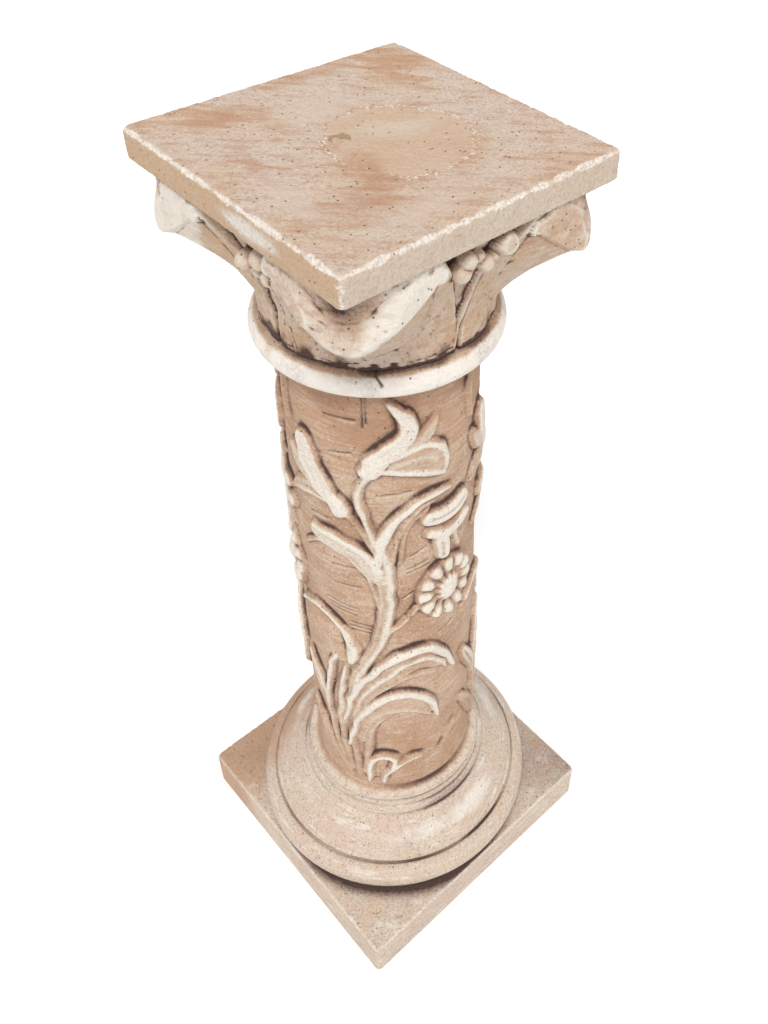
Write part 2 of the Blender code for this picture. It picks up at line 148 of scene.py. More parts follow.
# Heights of the joints and shoulders, in mm from the ground
TORUS_TOP = PLINTH_HEIGHT + TORUS_HEIGHT
CYMA_TOP = TORUS_TOP + CYMA_HEIGHT
BASE_TOP = CYMA_TOP + BEAD_HEIGHT
SHAFT_BOTTOM = BASE_TOP + JOINT
CARVING_BOTTOM = SHAFT_BOTTOM + FOOT_HEIGHT
CARVING_TOP = CARVING_BOTTOM + SHAFT_LENGTH
SHAFT_TOP = CARVING_TOP + RING_HEIGHT
CAPITAL_BOTTOM = SHAFT_TOP + JOINT
SLAB_BOTTOM = CAPITAL_BOTTOM + BELL_HEIGHT
SLAB_TOP = SLAB_BOTTOM + SLAB_THICKNESS

# Marks on the slab's top: middle, radii and turn, in mm and degrees
SLAB_SPOTS = (
    ("pot outside", (14, 12, 800), (55, 53, 15), 0),
    ("pot inside", (13, 13, 800), (49, 47, 15), 0),
    ("pot light", (0, 20, 800), (14, 32, 15), -10),
    ("rust foot", (29, -28, 800), (34, 13, 15), -12),
    ("rust near", (60, -55, 800), (22, 28, 15), 30),
    ("rust front", (-16, -81, 800), (27, 10, 15), 0),
    ("rust left", (-86, -58, 800), (14, 28, 15), 0),
    ("rust far", (-82, 88, 800), (32, 24, 15), 20),
    ("rust edge", (-102, 25, 800), (11, 62, 15), 0),
    ("pink left", (-50, -3, 800), (24, 42, 15), 0),
    ("pink right", (88, -38, 800), (16, 60, 15), 0),
    ("pink near", (32, -84, 800), (30, 13, 15), 0),
    ("olive", (-12, -18, 800), (9, 3.6, 15), 30),
)

# Finest mesh before it is thinned, and what is left of it
SHAFT_COLUMNS = 480
SHAFT_ROWS = 480
ROUND_COLUMNS = 720
SHAFT_TRIANGLES = 190_000
CAPITAL_TRIANGLES = 190_000
BASE_TRIANGLES = 150_000

# Camera, fitted to the slab's and plinth's corners: place in shares of the column's height
COLUMN_HEIGHT = 0.8
CAMERA_PLACE = (0.0922, -0.7395, 1.3715)
CAMERA_YAW, CAMERA_PITCH, CAMERA_ROLL = 0.0184, 0.6988, 0.0541
CAMERA_TURN = math.radians(45)
PICTURE_HEIGHT = 1024
FOCAL_PIXELS = 1015.1
SHIFT_PIXELS = (-108.46, -128.41)
SENSOR = 36

# One repeat of the carving, drawn flat: angle in degrees, height in mm above the flared foot.
# Each stroke has the points of its middle line, its half widths, its rise and its section.
STROKES = (
    ("trunk", [(-19, 4), (-25, 60), (-28, 110), (-23, 172)], (12, 19, 19, 8), 2.0, "flat"),
    ("main stem", [(-28, 97), (-18, 170), (-9, 204), (1, 240), (6, 290), (5, 335), (1, 358)],
     (2.5, 5.5, 6.5, 7, 8, 5.5), 5.0, "stem"),
    ("left rib", [(-29, 203), (-35, 185), (-39, 150), (-40, 125), (-37, 80), (-30, 35), (-24, 10)],
     (3, 3.8, 4.2, 4.2, 3.5), 5.6, "round"),
    ("second rib", [(-24, 190), (-28, 149), (-30, 109), (-29, 66), (-24, 24)], (3, 4.4, 4.8, 4.4, 3.5),
     5.4, "round"),
    ("third rib", [(-22, 89), (-21, 56), (-19, 14)], (2.5, 4.2, 4), 5.4, "round"),
    ("right rib", [(-1, 118), (-8, 99), (-11, 72), (-12, 49), (-15, 24)], (2, 3.6, 4.2, 4, 3.4), 5.8,
     "round"),
    ("hook", [(-11, 12), (-11, 34), (-8, 49), (-2, 57), (4, 56), (7, 48), (5, 39)], (4, 4.8, 5, 4.6),
     6.8, "round"),
    ("hook's inside", [(-5, 20), (-3, 44)], (6, 6), 2.6, "flat"),
    ("leaflet", [(-1, 12), (1, 27), (6, 37), (12, 44), (20, 49), (27, 49)], (4, 4.4, 4.6, 4.2, 1.8),
     6.6, "round"),
    ("small leaf", [(41, 42), (48, 60), (54, 71)], (2, 5, 2), 4.5, "round"),
    ("low left leaf", [(-57, 94), (-48, 72), (-41, 49), (-34, 29), (-28, 12)], (6, 8, 7.5, 5.5, 3), 5.4,
     "petal"),
    ("high left leaf", [(-57, 170), (-50, 148), (-43, 126), (-41, 112)], (6, 8, 6, 2), 5.4, "petal"),
    ("low right leaf's sheet", [(33, 119), (23, 141), (12, 146), (0, 134), (-11, 112), (-17, 82)],
     (4, 12, 14, 14, 12, 8), 3.6, "flat"),
    ("low right leaf's rim", [(37, 107), (34, 128), (26, 147), (18, 155), (9, 158), (0, 151),
     (-10, 134), (-16, 116), (-21, 92), (-24, 66)], (2.5, 4.6, 5.2, 5.5, 5.4, 4.8, 4, 3.5, 3), 7.0,
     "round"),
    ("low right leaf's vein", [(35, 108), (25, 123), (15, 132), (4, 132), (-6, 121), (-12, 101),
     (-15, 76)], (2, 3.2, 3.6, 3.6, 3.4, 3, 2), 4.8, "round"),
    ("high right leaf's sheet", [(43, 182), (31, 198), (18, 201), (6, 188), (-7, 166), (-17, 136),
     (-21, 109)], (5, 13, 16, 15, 12, 9, 6), 3.6, "flat"),
    ("high right leaf's rim", [(50, 170), (45, 190), (35, 212), (23, 218), (12, 214), (1, 201),
     (-9, 181), (-17, 161), (-22, 137), (-26, 106)], (2.5, 4.6, 5.4, 5.8, 5.4, 4.8, 4, 3.5, 3, 2.2), 7.4,
     "round"),
    ("high right leaf's vein", [(45, 173), (36, 195), (26, 203), (13, 198), (1, 182), (-9, 162),
     (-16, 139), (-20, 116)], (2, 3.4, 3.6, 3.6, 3.4, 3, 2.5, 2), 5.2, "round"),
    ("high right leaf's edge", [(39, 173), (26, 182), (13, 178), (1, 167), (-9, 148), (-14, 128)],
     (1.8, 2.8, 3, 3, 2.6, 2), 4.4, "round"),
    ("folded leaf", [(-58, 247), (-48, 257), (-39, 259), (-30, 253), (-23, 240), (-18, 225), (-18, 208),
     (-20, 200)], (3, 3.2, 3.5, 4.5, 6.5, 7, 4), 5.5, "round"),
    ("folded leaf's sheet", [(-54, 236), (-44, 232), (-35, 218), (-29, 200)], (11, 17, 15, 9), 2.6,
     "flat"),
    ("folded leaf's inner rib", [(-54, 231), (-44, 229), (-36, 216), (-31, 196)], (2, 2.4, 2.4), 4.0,
     "round"),
    ("long left leaf's sheet", [(-37, 356), (-26, 355), (-14, 350), (-4, 336), (2, 316)],
     (8, 9.5, 9, 8, 6), 4.6, "flat"),
    ("long left leaf's rim", [(-38, 363), (-27, 361), (-16, 357), (-5, 347), (2, 328)],
     (3, 4.4, 4.4, 4.6, 5), 6.0, "round"),
    ("long left leaf's edge", [(-50, 328), (-44, 339), (-36, 346), (-26, 347), (-16, 339), (-7, 325),
     (-2, 304), (0, 282)], (1.6, 2.6, 3, 3, 3, 3, 2.6, 1.6), 4.8, "round"),
    ("long right leaf's sheet", [(6, 332), (8, 359), (13, 377), (23, 391), (36, 398)], (7, 8, 8, 7, 4),
     2.0, "flat"),
    ("long right leaf's rim", [(1, 336), (2, 349), (4, 364), (9, 379), (17, 392), (27, 401), (38, 403),
     (47, 402)], (4.5, 4.6, 5, 5, 4.6, 4, 3, 1.4), 6.4, "round"),
    ("long right leaf's vein", [(10, 336), (11, 356), (15, 372), (21, 385), (30, 394), (40, 397)],
     (1.6, 2.3, 2.6, 2.6, 2.2, 1.2), 4.4, "round"),
    ("long right leaf's edge", [(14, 332), (15, 349), (17, 366), (23, 380), (32, 389)],
     (1.3, 1.9, 2.1, 2, 1.3), 3.4, "round"),
    ("rosette stem", [(-1, 228), (5, 247), (11, 255), (17, 264)], (3.5, 3.5), 4.5, "round"),
    ("stem bead", [(20, 269), (24, 276)], (3.5, 3.5), 4.5, "round"),
    ("bud's upper lobe", [(33, 378), (40, 376), (48, 377), (56, 382)], (8.5, 9, 8), 7.0, "petal"),
    ("bud's lower lobe", [(33, 360), (42, 354), (52, 355), (58, 362)], (6.5, 7.5, 6), 6.0, "round"),
    ("bud's drop", [(40, 346), (42, 330)], (8, 7), 6.0, "petal"),
    ("bud's slender drop", [(50, 346), (53, 331)], (4.5, 4), 4.5, "round"),
    ("left tulip's stem", [(-1, 352), (-7, 370), (-15, 388)], (3, 3.2), 4.0, "round"),
    ("left tulip's calyx", [(-19, 391), (-22, 399)], (10, 9.5), 7.2, "round"),
    ("left tulip's tall petal", [(-24, 401), (-31, 414), (-38, 431), (-42, 449)], (8, 11, 11, 9), 5.8,
     "band"),
    ("left tulip's back petal", [(-33, 408), (-44, 419), (-52, 434)], (8, 9, 5), 4.4, "flat"),
    ("left tulip's low petal", [(-27, 398), (-38, 401), (-48, 397), (-54, 388)], (6, 8, 7, 3), 4.8,
     "petal"),
    ("tulip's stem", [(1, 355), (-4, 382), (-9, 407), (-7, 420), (-3, 430)], (3, 4.2, 4.4, 4), 5.0,
     "round"),
    ("tulip's calyx", [(-2, 436), (4, 446)], (9.5, 9), 7.4, "round"),
    ("tulip's curved petal", [(0, 445), (8, 455), (15, 464), (20, 473), (20, 484), (15, 494),
     (10, 502)], (8, 9, 9, 8.6, 7.4, 5, 1.4), 6.0, "band"),
    ("tulip's back petal", [(24, 458), (32, 468), (37, 481)], (6, 6.5, 2), 4.2, "flat"),
    ("tulip's pad", [(12, 445), (26, 444), (39, 437)], (5, 12, 11), 3.8, "flat"),
    ("tulip's upper finger", [(8, 447), (20, 455), (31, 457), (39, 450), (43, 438), (42, 426)],
     (3, 4, 4.4, 4, 3.5, 3), 5.4, "round"),
    ("tulip's middle finger", [(10, 440), (22, 445), (32, 444), (38, 437)], (2.8, 3.6, 3.6, 2), 4.6,
     "round"),
    ("tulip's lower finger", [(6, 436), (20, 434), (33, 427), (41, 421)], (4, 5, 5, 3.5), 5.4, "round"),
    ("top spur", [(-57, 458), (-58, 484), (-57, 508)], (3, 4, 2), 4.0, "round"),
)

# Short tool cuts in the ground: first and last angle, height of each end above the foot
CUTS = (
    (-25, -11, 447, 451), (-27, -8, 482, 483), (2, 22, 409, 411), (-43, -28, 371, 374),
    (-29, -11, 321, 325), (-30, -10, 299, 302), (-35, -13, 276, 273), (-34, -14, 271, 269),
    (-33, -14, 266, 264), (-19, -3, 254, 252), (-19, -2, 249, 248), (-18, -3, 244, 243),
    (18, 33, 318, 323), (18, 32, 323, 328), (20, 31, 338, 345), (15, 22, 288, 295),
    (39, 54, 226, 230), (-4, -3.8, 477, 509), (-2, -1.8, 481, 509),
)
CUT_HALF_WIDTH = 1.4
CUT_DEPTH = 1.1

# Rosette of the carving: its place as (angle, height), and rises in mm
ROSETTE_PLACE = (45, 286)
ROSETTE_HALF_WIDTH = 30
ROSETTE_HALF_HEIGHT = 38
ROSETTE_PETALS = 12
PETAL_RISE = 2.4
PETAL_CROWN = 4.6
PETAL_EDGE = 0.16
BUTTON_RADIUS = 11
BUTTON_RISE = 8.0
MOAT_REACH = 1.25
MOAT_WIDTH = 0.2
MOAT_DEPTH = 0.55

# Cross-sections of the strokes: level of the sheet, then place, half width and level of each ridge,
# as shares of the stroke's half width and rise, with the left side positive
SECTIONS = {
    "round": (0.0, ((0.0, 1.0, 1.0),)),
    "flat": (1.0, ()),
    "band": (0.86, ((0.5, 0.5, 1.0), (-0.1, 0.3, 0.92))),
    "stem": (0.74, ((-0.3, 0.66, 1.0), (0.7, 0.28, 0.92))),
    "petal": (0.66, ((0.42, 0.58, 1.0), (-0.48, 0.5, 0.9))),
}
SHEET_EDGE = 0.22
RELIEF_SOFTNESS = 1.0
HAND_WOBBLE = 1.3

# Fleurons: turn from the face's middle in degrees, height under the slab, reach and radius in mm
FLEURON_RIGHT = ((-9, 22, 103, 7), (-7, 14, 105, 6), (1.5, 22, 104, 5.6), (5.5, 20, 104, 3.2),
                 (-2, 15, 103, 4.5), (9, 12, 108, 8))
FLEURON_LEFT = ((2, 25, 103, 6.5), (11, 17, 104, 7), (8, 29, 101, 5), (13, 30, 102, 6),
                (17.5, 30, 102, 6))
LEFT_FACE = 270
FLEURONS = ((0, FLEURON_RIGHT), (90, FLEURON_RIGHT), (180, FLEURON_RIGHT), (LEFT_FACE, FLEURON_LEFT))
# Curls at the two ends of each leaf's rim, measured from the corner's diagonal
CURLS = ((25.5, 10, 118, 5), (-25.5, 10, 118, 4.2))
# Stalks: height and turn from the face's middle
STALK_RIGHT = ((677, -2), (700, -1), (720, 2.5), (742, 6), (756, 8))
STALK_LEFT = ((677, 12), (700, 9), (730, 4.5), (752, 3))

# Chips and air holes: width and depth of the chips in m, and share of the cells with an air hole
CHIP_SIZE = 0.006
BASE_CHIPS = {"Chip Depth": 0.0012, "Chip Size": 0.004}
CAPITAL_CHIPS = {"Chip Size": 0.0035, "Pit Share": 0.14}
PIT_SHARE = 0.15

# Where dirt, wear, stains, painted shade and painted highlights lie: directions in degrees, and radii,
# heights and reaches in mm
BASE_FRONT = 318
BELL_FRONT = 322
SHAFT_RIGHT = -10
DARK_GROOVE = 126
# Radii of the painted highlights on the cyma and the torus
CYMA_HIGHLIGHT = 109
TORUS_HIGHLIGHT = 136
RING_SHADE_START = 430
TORN_PLACE = (30, 789)
TORN_REACH = (36, 8)

# Studio: where the light comes from, its width in degrees, and the floor's reach in m
SUN_PLACE = (0.40, -0.36, 0.84)
SUN_STRENGTH = 2.3
SUN_WIDTH = 18
SUN_COLOUR = "#fffdfb"
SKY_STRENGTH = 0.72
FLOOR_REACH = 12
FLOOR_COLOUR = "#fbfbfb"


# Colours and numbers

def linear(code):
    """Linear colour of an sRGB hex value."""
    parts = [int(code[i:i + 2], 16) / 255 for i in (1, 3, 5)]
    return [c / 12.92 if c <= 0.04045 else ((c + 0.055) / 1.055) ** 2.4 for c in parts]


def smoothstep(value):
    """Ease from 0 to 1."""
    value = np.clip(value, 0.0, 1.0)
    return value * value * (3 - 2 * value)


def band(value, middle, width):
    """Share of a soft band, 1 in its middle and 0 from its half width on."""
    return smoothstep(1 - np.abs(value - middle) / width)


def ball(share):
    """Height of a dome with a flattened top, 1 in the middle and 0 at the ends."""
    return np.clip(1 - np.abs(share) ** 2.5, 0, 1) ** 0.6


# Properties that a user would change

def colour(name, code, description):
    """Colour property with a default given as an sRGB hex value."""
    return FloatVectorProperty(name=name, description=description, default=linear(code), size=3,
                               min=0, max=1, subtype="COLOR")


class PedestalSizes(bpy.types.PropertyGroup):
    """Depths and spacings of the stone's surface."""

    relief: FloatProperty(name="Relief", description="Rise of the carving against the drawn one",
                          default=1.0, min=0.3, max=1.5, subtype="FACTOR")
    grain: FloatProperty(name="Grain", description="Spacing of the sandy grain of the castings",
                         default=0.0045, min=0.001, max=0.02, unit="LENGTH")
    grain_depth: FloatProperty(name="Grain depth", description="Depth of the sandy grain",
                               default=0.0003, min=0, max=0.002, unit="LENGTH")
    chip_depth: FloatProperty(name="Chip depth", description="Depth of the chips along worn edges",
                              default=0.0016, min=0, max=0.006, unit="LENGTH")
    pit_spacing: FloatProperty(name="Pit spacing", description="Spacing of the air holes",
                               default=0.011, min=0.003, max=0.05, unit="LENGTH")
    pit_depth: FloatProperty(name="Pit depth", description="Depth of the air holes",
                             default=0.0008, min=0, max=0.004, unit="LENGTH")
    seed: IntProperty(name="Seed", description="Which of the random surfaces is used", default=7, min=0)


class PedestalColours(bpy.types.PropertyGroup):
    """Colours of the stone and of the antique wash on it, and of painted shade and painted highlights."""

    # Ivory also paints highlights on the raised carving, the base's mouldings and the leaves' tips
    ivory: colour("Ivory", "#f1eee5", "Worn cream of the raised carving")
    cream: colour("Cream", "#d9ccba", "Cream of the base")
    tan: colour("Tan", "#bd9a7d", "Tan wash on the shaft's ground")
    pale_tan: colour("Pale tan", "#d6bda4", "Thin wash on the shaft's ground")
    rust: colour("Rust", "#bd9273", "Rust-brown stains")
    rose: colour("Rose", "#d8c6b8", "Pinkish-grey wash on the slab and the base")
    ochre: colour("Ochre", "#ceb08d", "Yellowish wash on the slab's side")
    # Umber and the darkest colour paint shade in the hollows and deepest cracks, over a dark wash and dirt
    umber: colour("Umber", "#694b42", "Dark purple-brown wash in the hollows")
    deep_shade_and_dirt: colour("Soot", "#38241f", "Black-brown dirt in the deepest cracks")
    white: colour("White", "#fbf8f2", "Bare stone of the worn edges")
    wash: colour("Wash", "#f4f1ef", "Thin transparent wash over the whole stone")


# Meshes from grids of points

def grid_mesh(name, points, layers):
    """Closed mesh from rows of points that run round the axis, with the first and last row fused.

    Rows run from the top of the axis outside and down to the bottom. Points are in mm, and layers
    holds one value for each point, kept as attributes of the mesh.
    """
    rows, columns = points.shape[:2]
    top, bottom = points[0].mean(0), points[-1].mean(0)
    corners = np.vstack([points.reshape(-1, 3), top, bottom]) * MM
    index = np.arange(rows * columns).reshape(rows, columns)
    beside = np.roll(index, -1, axis=1)
    quads = np.stack([index[:-1], index[1:], beside[1:], beside[:-1]], -1).reshape(-1, 4)
    crown = [(rows * columns, a, b) for a, b in zip(index[0], beside[0])]
    sole = [(rows * columns + 1, b, a) for a, b in zip(index[-1], beside[-1])]
    mesh = bpy.data.meshes.new(name)
    mesh.from_pydata(corners.tolist(), [], quads.tolist() + crown + sole)
    mesh.shade_smooth()
    for layer, values in layers.items():
        ends = [values[0].mean(), values[-1].mean()]
        attribute = mesh.attributes.new(layer, "FLOAT", "POINT")
        attribute.data.foreach_set("value", np.append(values.ravel(), ends).astype(np.float32))
    piece = bpy.data.objects.new(name, mesh)
    bpy.context.scene.collection.objects.link(piece)
    return piece


def around(columns, turn=0.0):
    """Angles in degrees of the columns of a grid, which run against the clock."""
    return turn + np.arange(columns) * 360 / columns


def apart(angles, direction):
    """Angle between each of the angles and a direction, 0 to 180 degrees."""
    return np.abs((angles - direction + 180) % 360 - 180)


def grid(rows, columns):
    """Radii and heights of a grid, from rows that hold one value each or one for each column."""
    return [np.array([row[part] * np.ones(columns) for row in rows]) for part in (0, 1)]


def turned_points(angles, radius, height):
    """Points of a grid from its radii and heights, in mm."""
    turn = np.radians(angles)
    return np.stack([radius * np.cos(turn), radius * np.sin(turn), height + 0 * radius], -1)


def hollows(points, reach):
    """How far each point lies under the mean of its surroundings, in mm, along the normal."""
    mean = points.copy()
    for _ in range(reach):
        up, down = np.vstack([mean[:1], mean[:-1]]), np.vstack([mean[1:], mean[-1:]])
        mean = (mean + up + down + np.roll(mean, 1, 1) + np.roll(mean, -1, 1)) / 5
    along = np.roll(points, -1, 1) - np.roll(points, 1, 1)
    down = np.gradient(points, axis=0)
    normal = np.cross(down, along)
    normal /= np.maximum(np.linalg.norm(normal, axis=-1, keepdims=True), 1e-9)
    return ((mean - points) * normal).sum(-1)


def square(angles, half_side, corner):
    """Radius of a square with rounded corners at each angle, in mm."""
    turn = np.abs(np.radians((angles + 45) % 90 - 45))
    flat = half_side / np.cos(turn)
    middle = half_side - corner
    towards = middle * (np.cos(turn) + np.sin(turn))
    arc = towards + np.sqrt(np.maximum(towards ** 2 - 2 * middle ** 2 + corner ** 2, 0))
    return np.where(half_side * np.tan(turn) > middle, arc, flat)


def lattice_noise(angles, heights, size, seed, radius=DRAWN_RADIUS):
    """Smooth noise from -1 to 1 over angles and heights, in cells of about that size in mm."""
    columns = max(3, int(round(2 * math.pi * radius / size)))
    rows = 600
    values = np.random.default_rng(seed).uniform(-1, 1, (rows, columns))
    x, y = angles / 360 * columns, heights / size + 5
    column, row = np.floor(x).astype(int), np.floor(y).astype(int) % (rows - 1)
    right, up = smoothstep(x - column), smoothstep(y - np.floor(y))
    low_pair = values[row, column % columns] * (1 - right) + values[row, (column + 1) % columns] * right
    high_pair = (values[row + 1, column % columns] * (1 - right)
                 + values[row + 1, (column + 1) % columns] * right)
    return low_pair * (1 - up) + high_pair * up


def patchwork(*given):
    """Smooth noise from 0 to 1, asked for as in lattice_noise."""
    return 0.5 + 0.5 * lattice_noise(*given)


def rounded_edge(angles, edge, corner, top, rounding, steps):
    """Rows that round the upper arris of a square block."""
    rows = []
    for step in range(1, steps + 1):
        turn = math.pi / 2 * step / steps
        rows.append((square(angles, edge - rounding * (1 - math.sin(turn)), corner),
                     top - rounding * (1 - math.cos(turn))))
    return rows


# Node trees

# Settings that many nodes share
TIMES = {"operation": "MULTIPLY"}
TIMES_PLUS = {"operation": "MULTIPLY_ADD"}
MINUS = {"operation": "SUBTRACT"}
OVER = {"operation": "DIVIDE"}
LESS = {"operation": "LESS_THAN"}
EASED = {"interpolation_type": "SMOOTHSTEP"}
COLOURED = {"data_type": "RGBA"}
NUMBERED = {"data_type": "FLOAT"}
PLACED = {"vector_type": "TEXTURE"}


def lay(tree, rows, made=None):
    """Add the nodes of a table in order, set them up and link them.

    Each row is a name, a kind of node, its inputs and its settings. Text that names an earlier
    output, such as `clouds` or `place.Object`, links it, and anything else is a plain value.
    """
    made = dict(made or {})
    for name, kind, inputs, settings in rows:
        node = tree.nodes.new(kind)
        for key, value in settings.items():
            setattr(node, key, value)
        for key, value in inputs.items():
            if isinstance(value, str) and value in made:
                tree.links.new(made[value], node.inputs[key])
            else:
                node.inputs[key].default_value = value
        outputs = [output for output in node.outputs if output.enabled]
        if outputs:
            made[name] = outputs[0]
        for output in outputs:
            made[f"{name}.{output.name}"] = output
    return made


def weathering_tree():
    """Geometry nodes that give a casting its grain, air holes and chipped edges.

    Grain and holes are everywhere, and chips only where the attribute `arris` says so. Holes and
    chips are kept in the attributes `pit` and `chip` for the material.
    """
    tree = bpy.data.node_groups.new("weathered stone", "GeometryNodeTree")
    sockets = tree.interface
    sockets.new_socket("Geometry", in_out="INPUT", socket_type="NodeSocketGeometry")
    for name in ("Grain Size", "Grain Depth", "Chip Size", "Chip Depth", "Pit Spacing", "Pit Depth",
                 "Pit Share", "Seed"):
        sockets.new_socket(name, in_out="INPUT", socket_type="NodeSocketFloat")
    sockets.new_socket("Material", in_out="INPUT", socket_type="NodeSocketMaterial")
    sockets.new_socket("Geometry", in_out="OUTPUT", socket_type="NodeSocketGeometry")
    four = {"noise_dimensions": "4D"}
    lay(tree, (
        ("given", "NodeGroupInput", {}, {}),
        ("place", "GeometryNodeInputPosition", {}, {}),
        ("normal", "GeometryNodeInputNormal", {}, {}),
        ("edge", "GeometryNodeInputNamedAttribute", {"Name": "arris"}, NUMBERED),
        ("grain scale", "ShaderNodeMath", {0: 1.0, 1: "given.Grain Size"}, OVER),
        ("grain", "ShaderNodeTexNoise", {"Vector": "place", "W": "given.Seed", "Scale": "grain scale",
                                         "Detail": 3.0}, four),
        ("grain level", "ShaderNodeMath", {0: "grain", 1: 0.5}, MINUS),
        ("chip scale", "ShaderNodeMath", {0: 1.0, 1: "given.Chip Size"}, OVER),
        ("chip noise", "ShaderNodeTexNoise", {"Vector": "place", "W": "given.Seed",
                                              "Scale": "chip scale", "Detail": 4.0}, four),
        ("chips", "ShaderNodeMapRange", {0: "chip noise", 1: 0.42, 2: 0.68}, EASED),
        ("chip", "ShaderNodeMath", {0: "chips", 1: "edge"}, TIMES),
        ("pit scale", "ShaderNodeMath", {0: 1.0, 1: "given.Pit Spacing"}, OVER),
        ("cells", "ShaderNodeTexVoronoi", {"Vector": "place", "W": "given.Seed",
                                           "Scale": "pit scale"}, {"voronoi_dimensions": "4D"}),
        ("lots", "ShaderNodeSeparateXYZ", {0: "cells.Color"}, {}),
        ("kept", "ShaderNodeMath", {0: "lots.X", 1: "given.Pit Share"}, LESS),
        ("width", "ShaderNodeMath", {0: "lots.Y", 1: 0.12, 2: 0.06}, TIMES_PLUS),
        ("reach", "ShaderNodeMath", {0: "cells.Distance", 1: "width"}, OVER),
        ("bowl", "ShaderNodeMapRange", {0: "reach", 1: 1.3, 2: 0.4}, EASED),
        ("pit", "ShaderNodeMath", {0: "bowl", 1: "kept"}, TIMES),
        ("grain lift", "ShaderNodeMath", {0: "grain level", 1: "given.Grain Depth"}, TIMES),
        ("chip lift", "ShaderNodeMath", {0: "chip", 1: "given.Chip Depth"}, TIMES),
        ("pit lift", "ShaderNodeMath", {0: "pit", 1: "given.Pit Depth"}, TIMES),
        ("less chips", "ShaderNodeMath", {0: "grain lift", 1: "chip lift"}, MINUS),
        ("lift", "ShaderNodeMath", {0: "less chips", 1: "pit lift"}, MINUS),
        ("offset", "ShaderNodeVectorMath", {0: "normal", "Scale": "lift"}, {"operation": "SCALE"}),
        ("moved", "GeometryNodeSetPosition", {"Geometry": "given.Geometry", "Offset": "offset"}, {}),
        ("pits noted", "GeometryNodeStoreNamedAttribute",
         {"Geometry": "moved", "Name": "pit", "Value": "pit"}, NUMBERED),
        ("chips noted", "GeometryNodeStoreNamedAttribute",
         {"Geometry": "pits noted", "Name": "chip", "Value": "chip"}, NUMBERED),
        ("real", "GeometryNodeRealizeInstances", {"Geometry": "chips noted"}, {}),
        ("dressed", "GeometryNodeSetMaterial", {"Geometry": "real", "Material": "given.Material"}, {}),
        ("result", "NodeGroupOutput", {0: "dressed"}, {}),
    ))
    return tree


def weathered(piece, material, **values):
    """Run the weathering nodes on a piece and keep the plain mesh."""
    tree = bpy.data.node_groups.get("weathered stone") or weathering_tree()
    modifier = piece.modifiers.new("weathering", "NODES")
    modifier.node_group = tree
    names = {item.name: item.identifier for item in tree.interface.items_tree if item.in_out == "INPUT"}
    for name, value in {**values, "Material": material}.items():
        modifier[names[name]] = value
    settle(piece)


def settle(piece):
    """Put the evaluated shape into the piece and drop its modifiers."""
    shape = piece.evaluated_get(bpy.context.evaluated_depsgraph_get())
    mesh = bpy.data.meshes.new_from_object(shape)
    mesh.name = piece.name
    piece.modifiers.clear()
    piece.data = mesh


def thin(piece, triangles):
    """Spend only so many triangles on a piece, most of them where it is carved."""
    piece.data.calc_loop_triangles()
    decimate = piece.modifiers.new("thin", "DECIMATE")
    decimate.ratio = min(1.0, triangles / len(piece.data.loop_triangles))
    settle(piece)


def inside(piece, low, high):
    """Keep every point within a box, in metres."""
    count = len(piece.data.vertices)
    points = np.empty(count * 3, np.float32)
    piece.data.vertices.foreach_get("co", points)
    points = np.clip(points.reshape(count, 3), np.array(low), np.array(high))
    piece.data.vertices.foreach_set("co", points.astype(np.float32).ravel())
    piece.data.update()


def finish_casting(piece, node, material, triangles, **values):
    """Weather a casting, thin it and let it stand for its solid."""
    sizes = bpy.context.scene.pedestal_sizes
    given = {"Grain Size": sizes.grain, "Grain Depth": sizes.grain_depth, "Chip Size": CHIP_SIZE,
             "Chip Depth": sizes.chip_depth, "Pit Spacing": sizes.pit_spacing,
             "Pit Depth": sizes.pit_depth, "Pit Share": PIT_SHARE, "Seed": float(sizes.seed)}
    weathered(piece, material, **{**given, **values})
    thin(piece, triangles)
    inside(piece, *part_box(node))
    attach(piece, "root")
    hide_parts(node)


# Materials

# Noises that stain the stone: size of a feature in mm, detail, roughness and distortion. The sand
# grains and pores of a real casting are 0.3 to 1 mm wide, too fine for a picture, so drawn coarser
NOISES = {
    "clouds": (48, 5.0, 0.55, 0.0),
    "warp": (22, 4.0, 0.6, 0.0),
    "mottle": (11, 6.0, 0.65, 0.0),
    "coarse": (4.5, 5.0, 0.7, 0.0),
    "specks": (2.4, 3.0, 0.7, 0.0),
    "sand": (2.1, 2.0, 0.5, 0.6),
    "grit": (1.7, 2.0, 0.6, 0.0),
}
HOLE_SIZE = 2.6
HOLE_COLOUR = "#573d32"
BUMP_DEPTH = 0.0022
STONE_ROUGHNESS = 0.82
STONE_IOR = 1.5

# How far the noise pushes the outlines of the spots, in m, and half width of a spot's outline as a
# share of its radius
WARP_REACH = 0.03
EDGE_SHARE = 0.035

# Coats that every casting has over its ground: fine dark pores and pale sand grains
GROUND_COATS = (
    ("grit", "mottle", 0.5, 0.46, 0.7, 0.7, linear("#85614a")),
    ("sand", "mottle", 0.5, 0.48, 0.74, 0.6, linear("#f6ecdf")),
    ("specks", "mottle", 0.6, 0.47, 0.3, 0.75, linear("#8f6d59")),
)


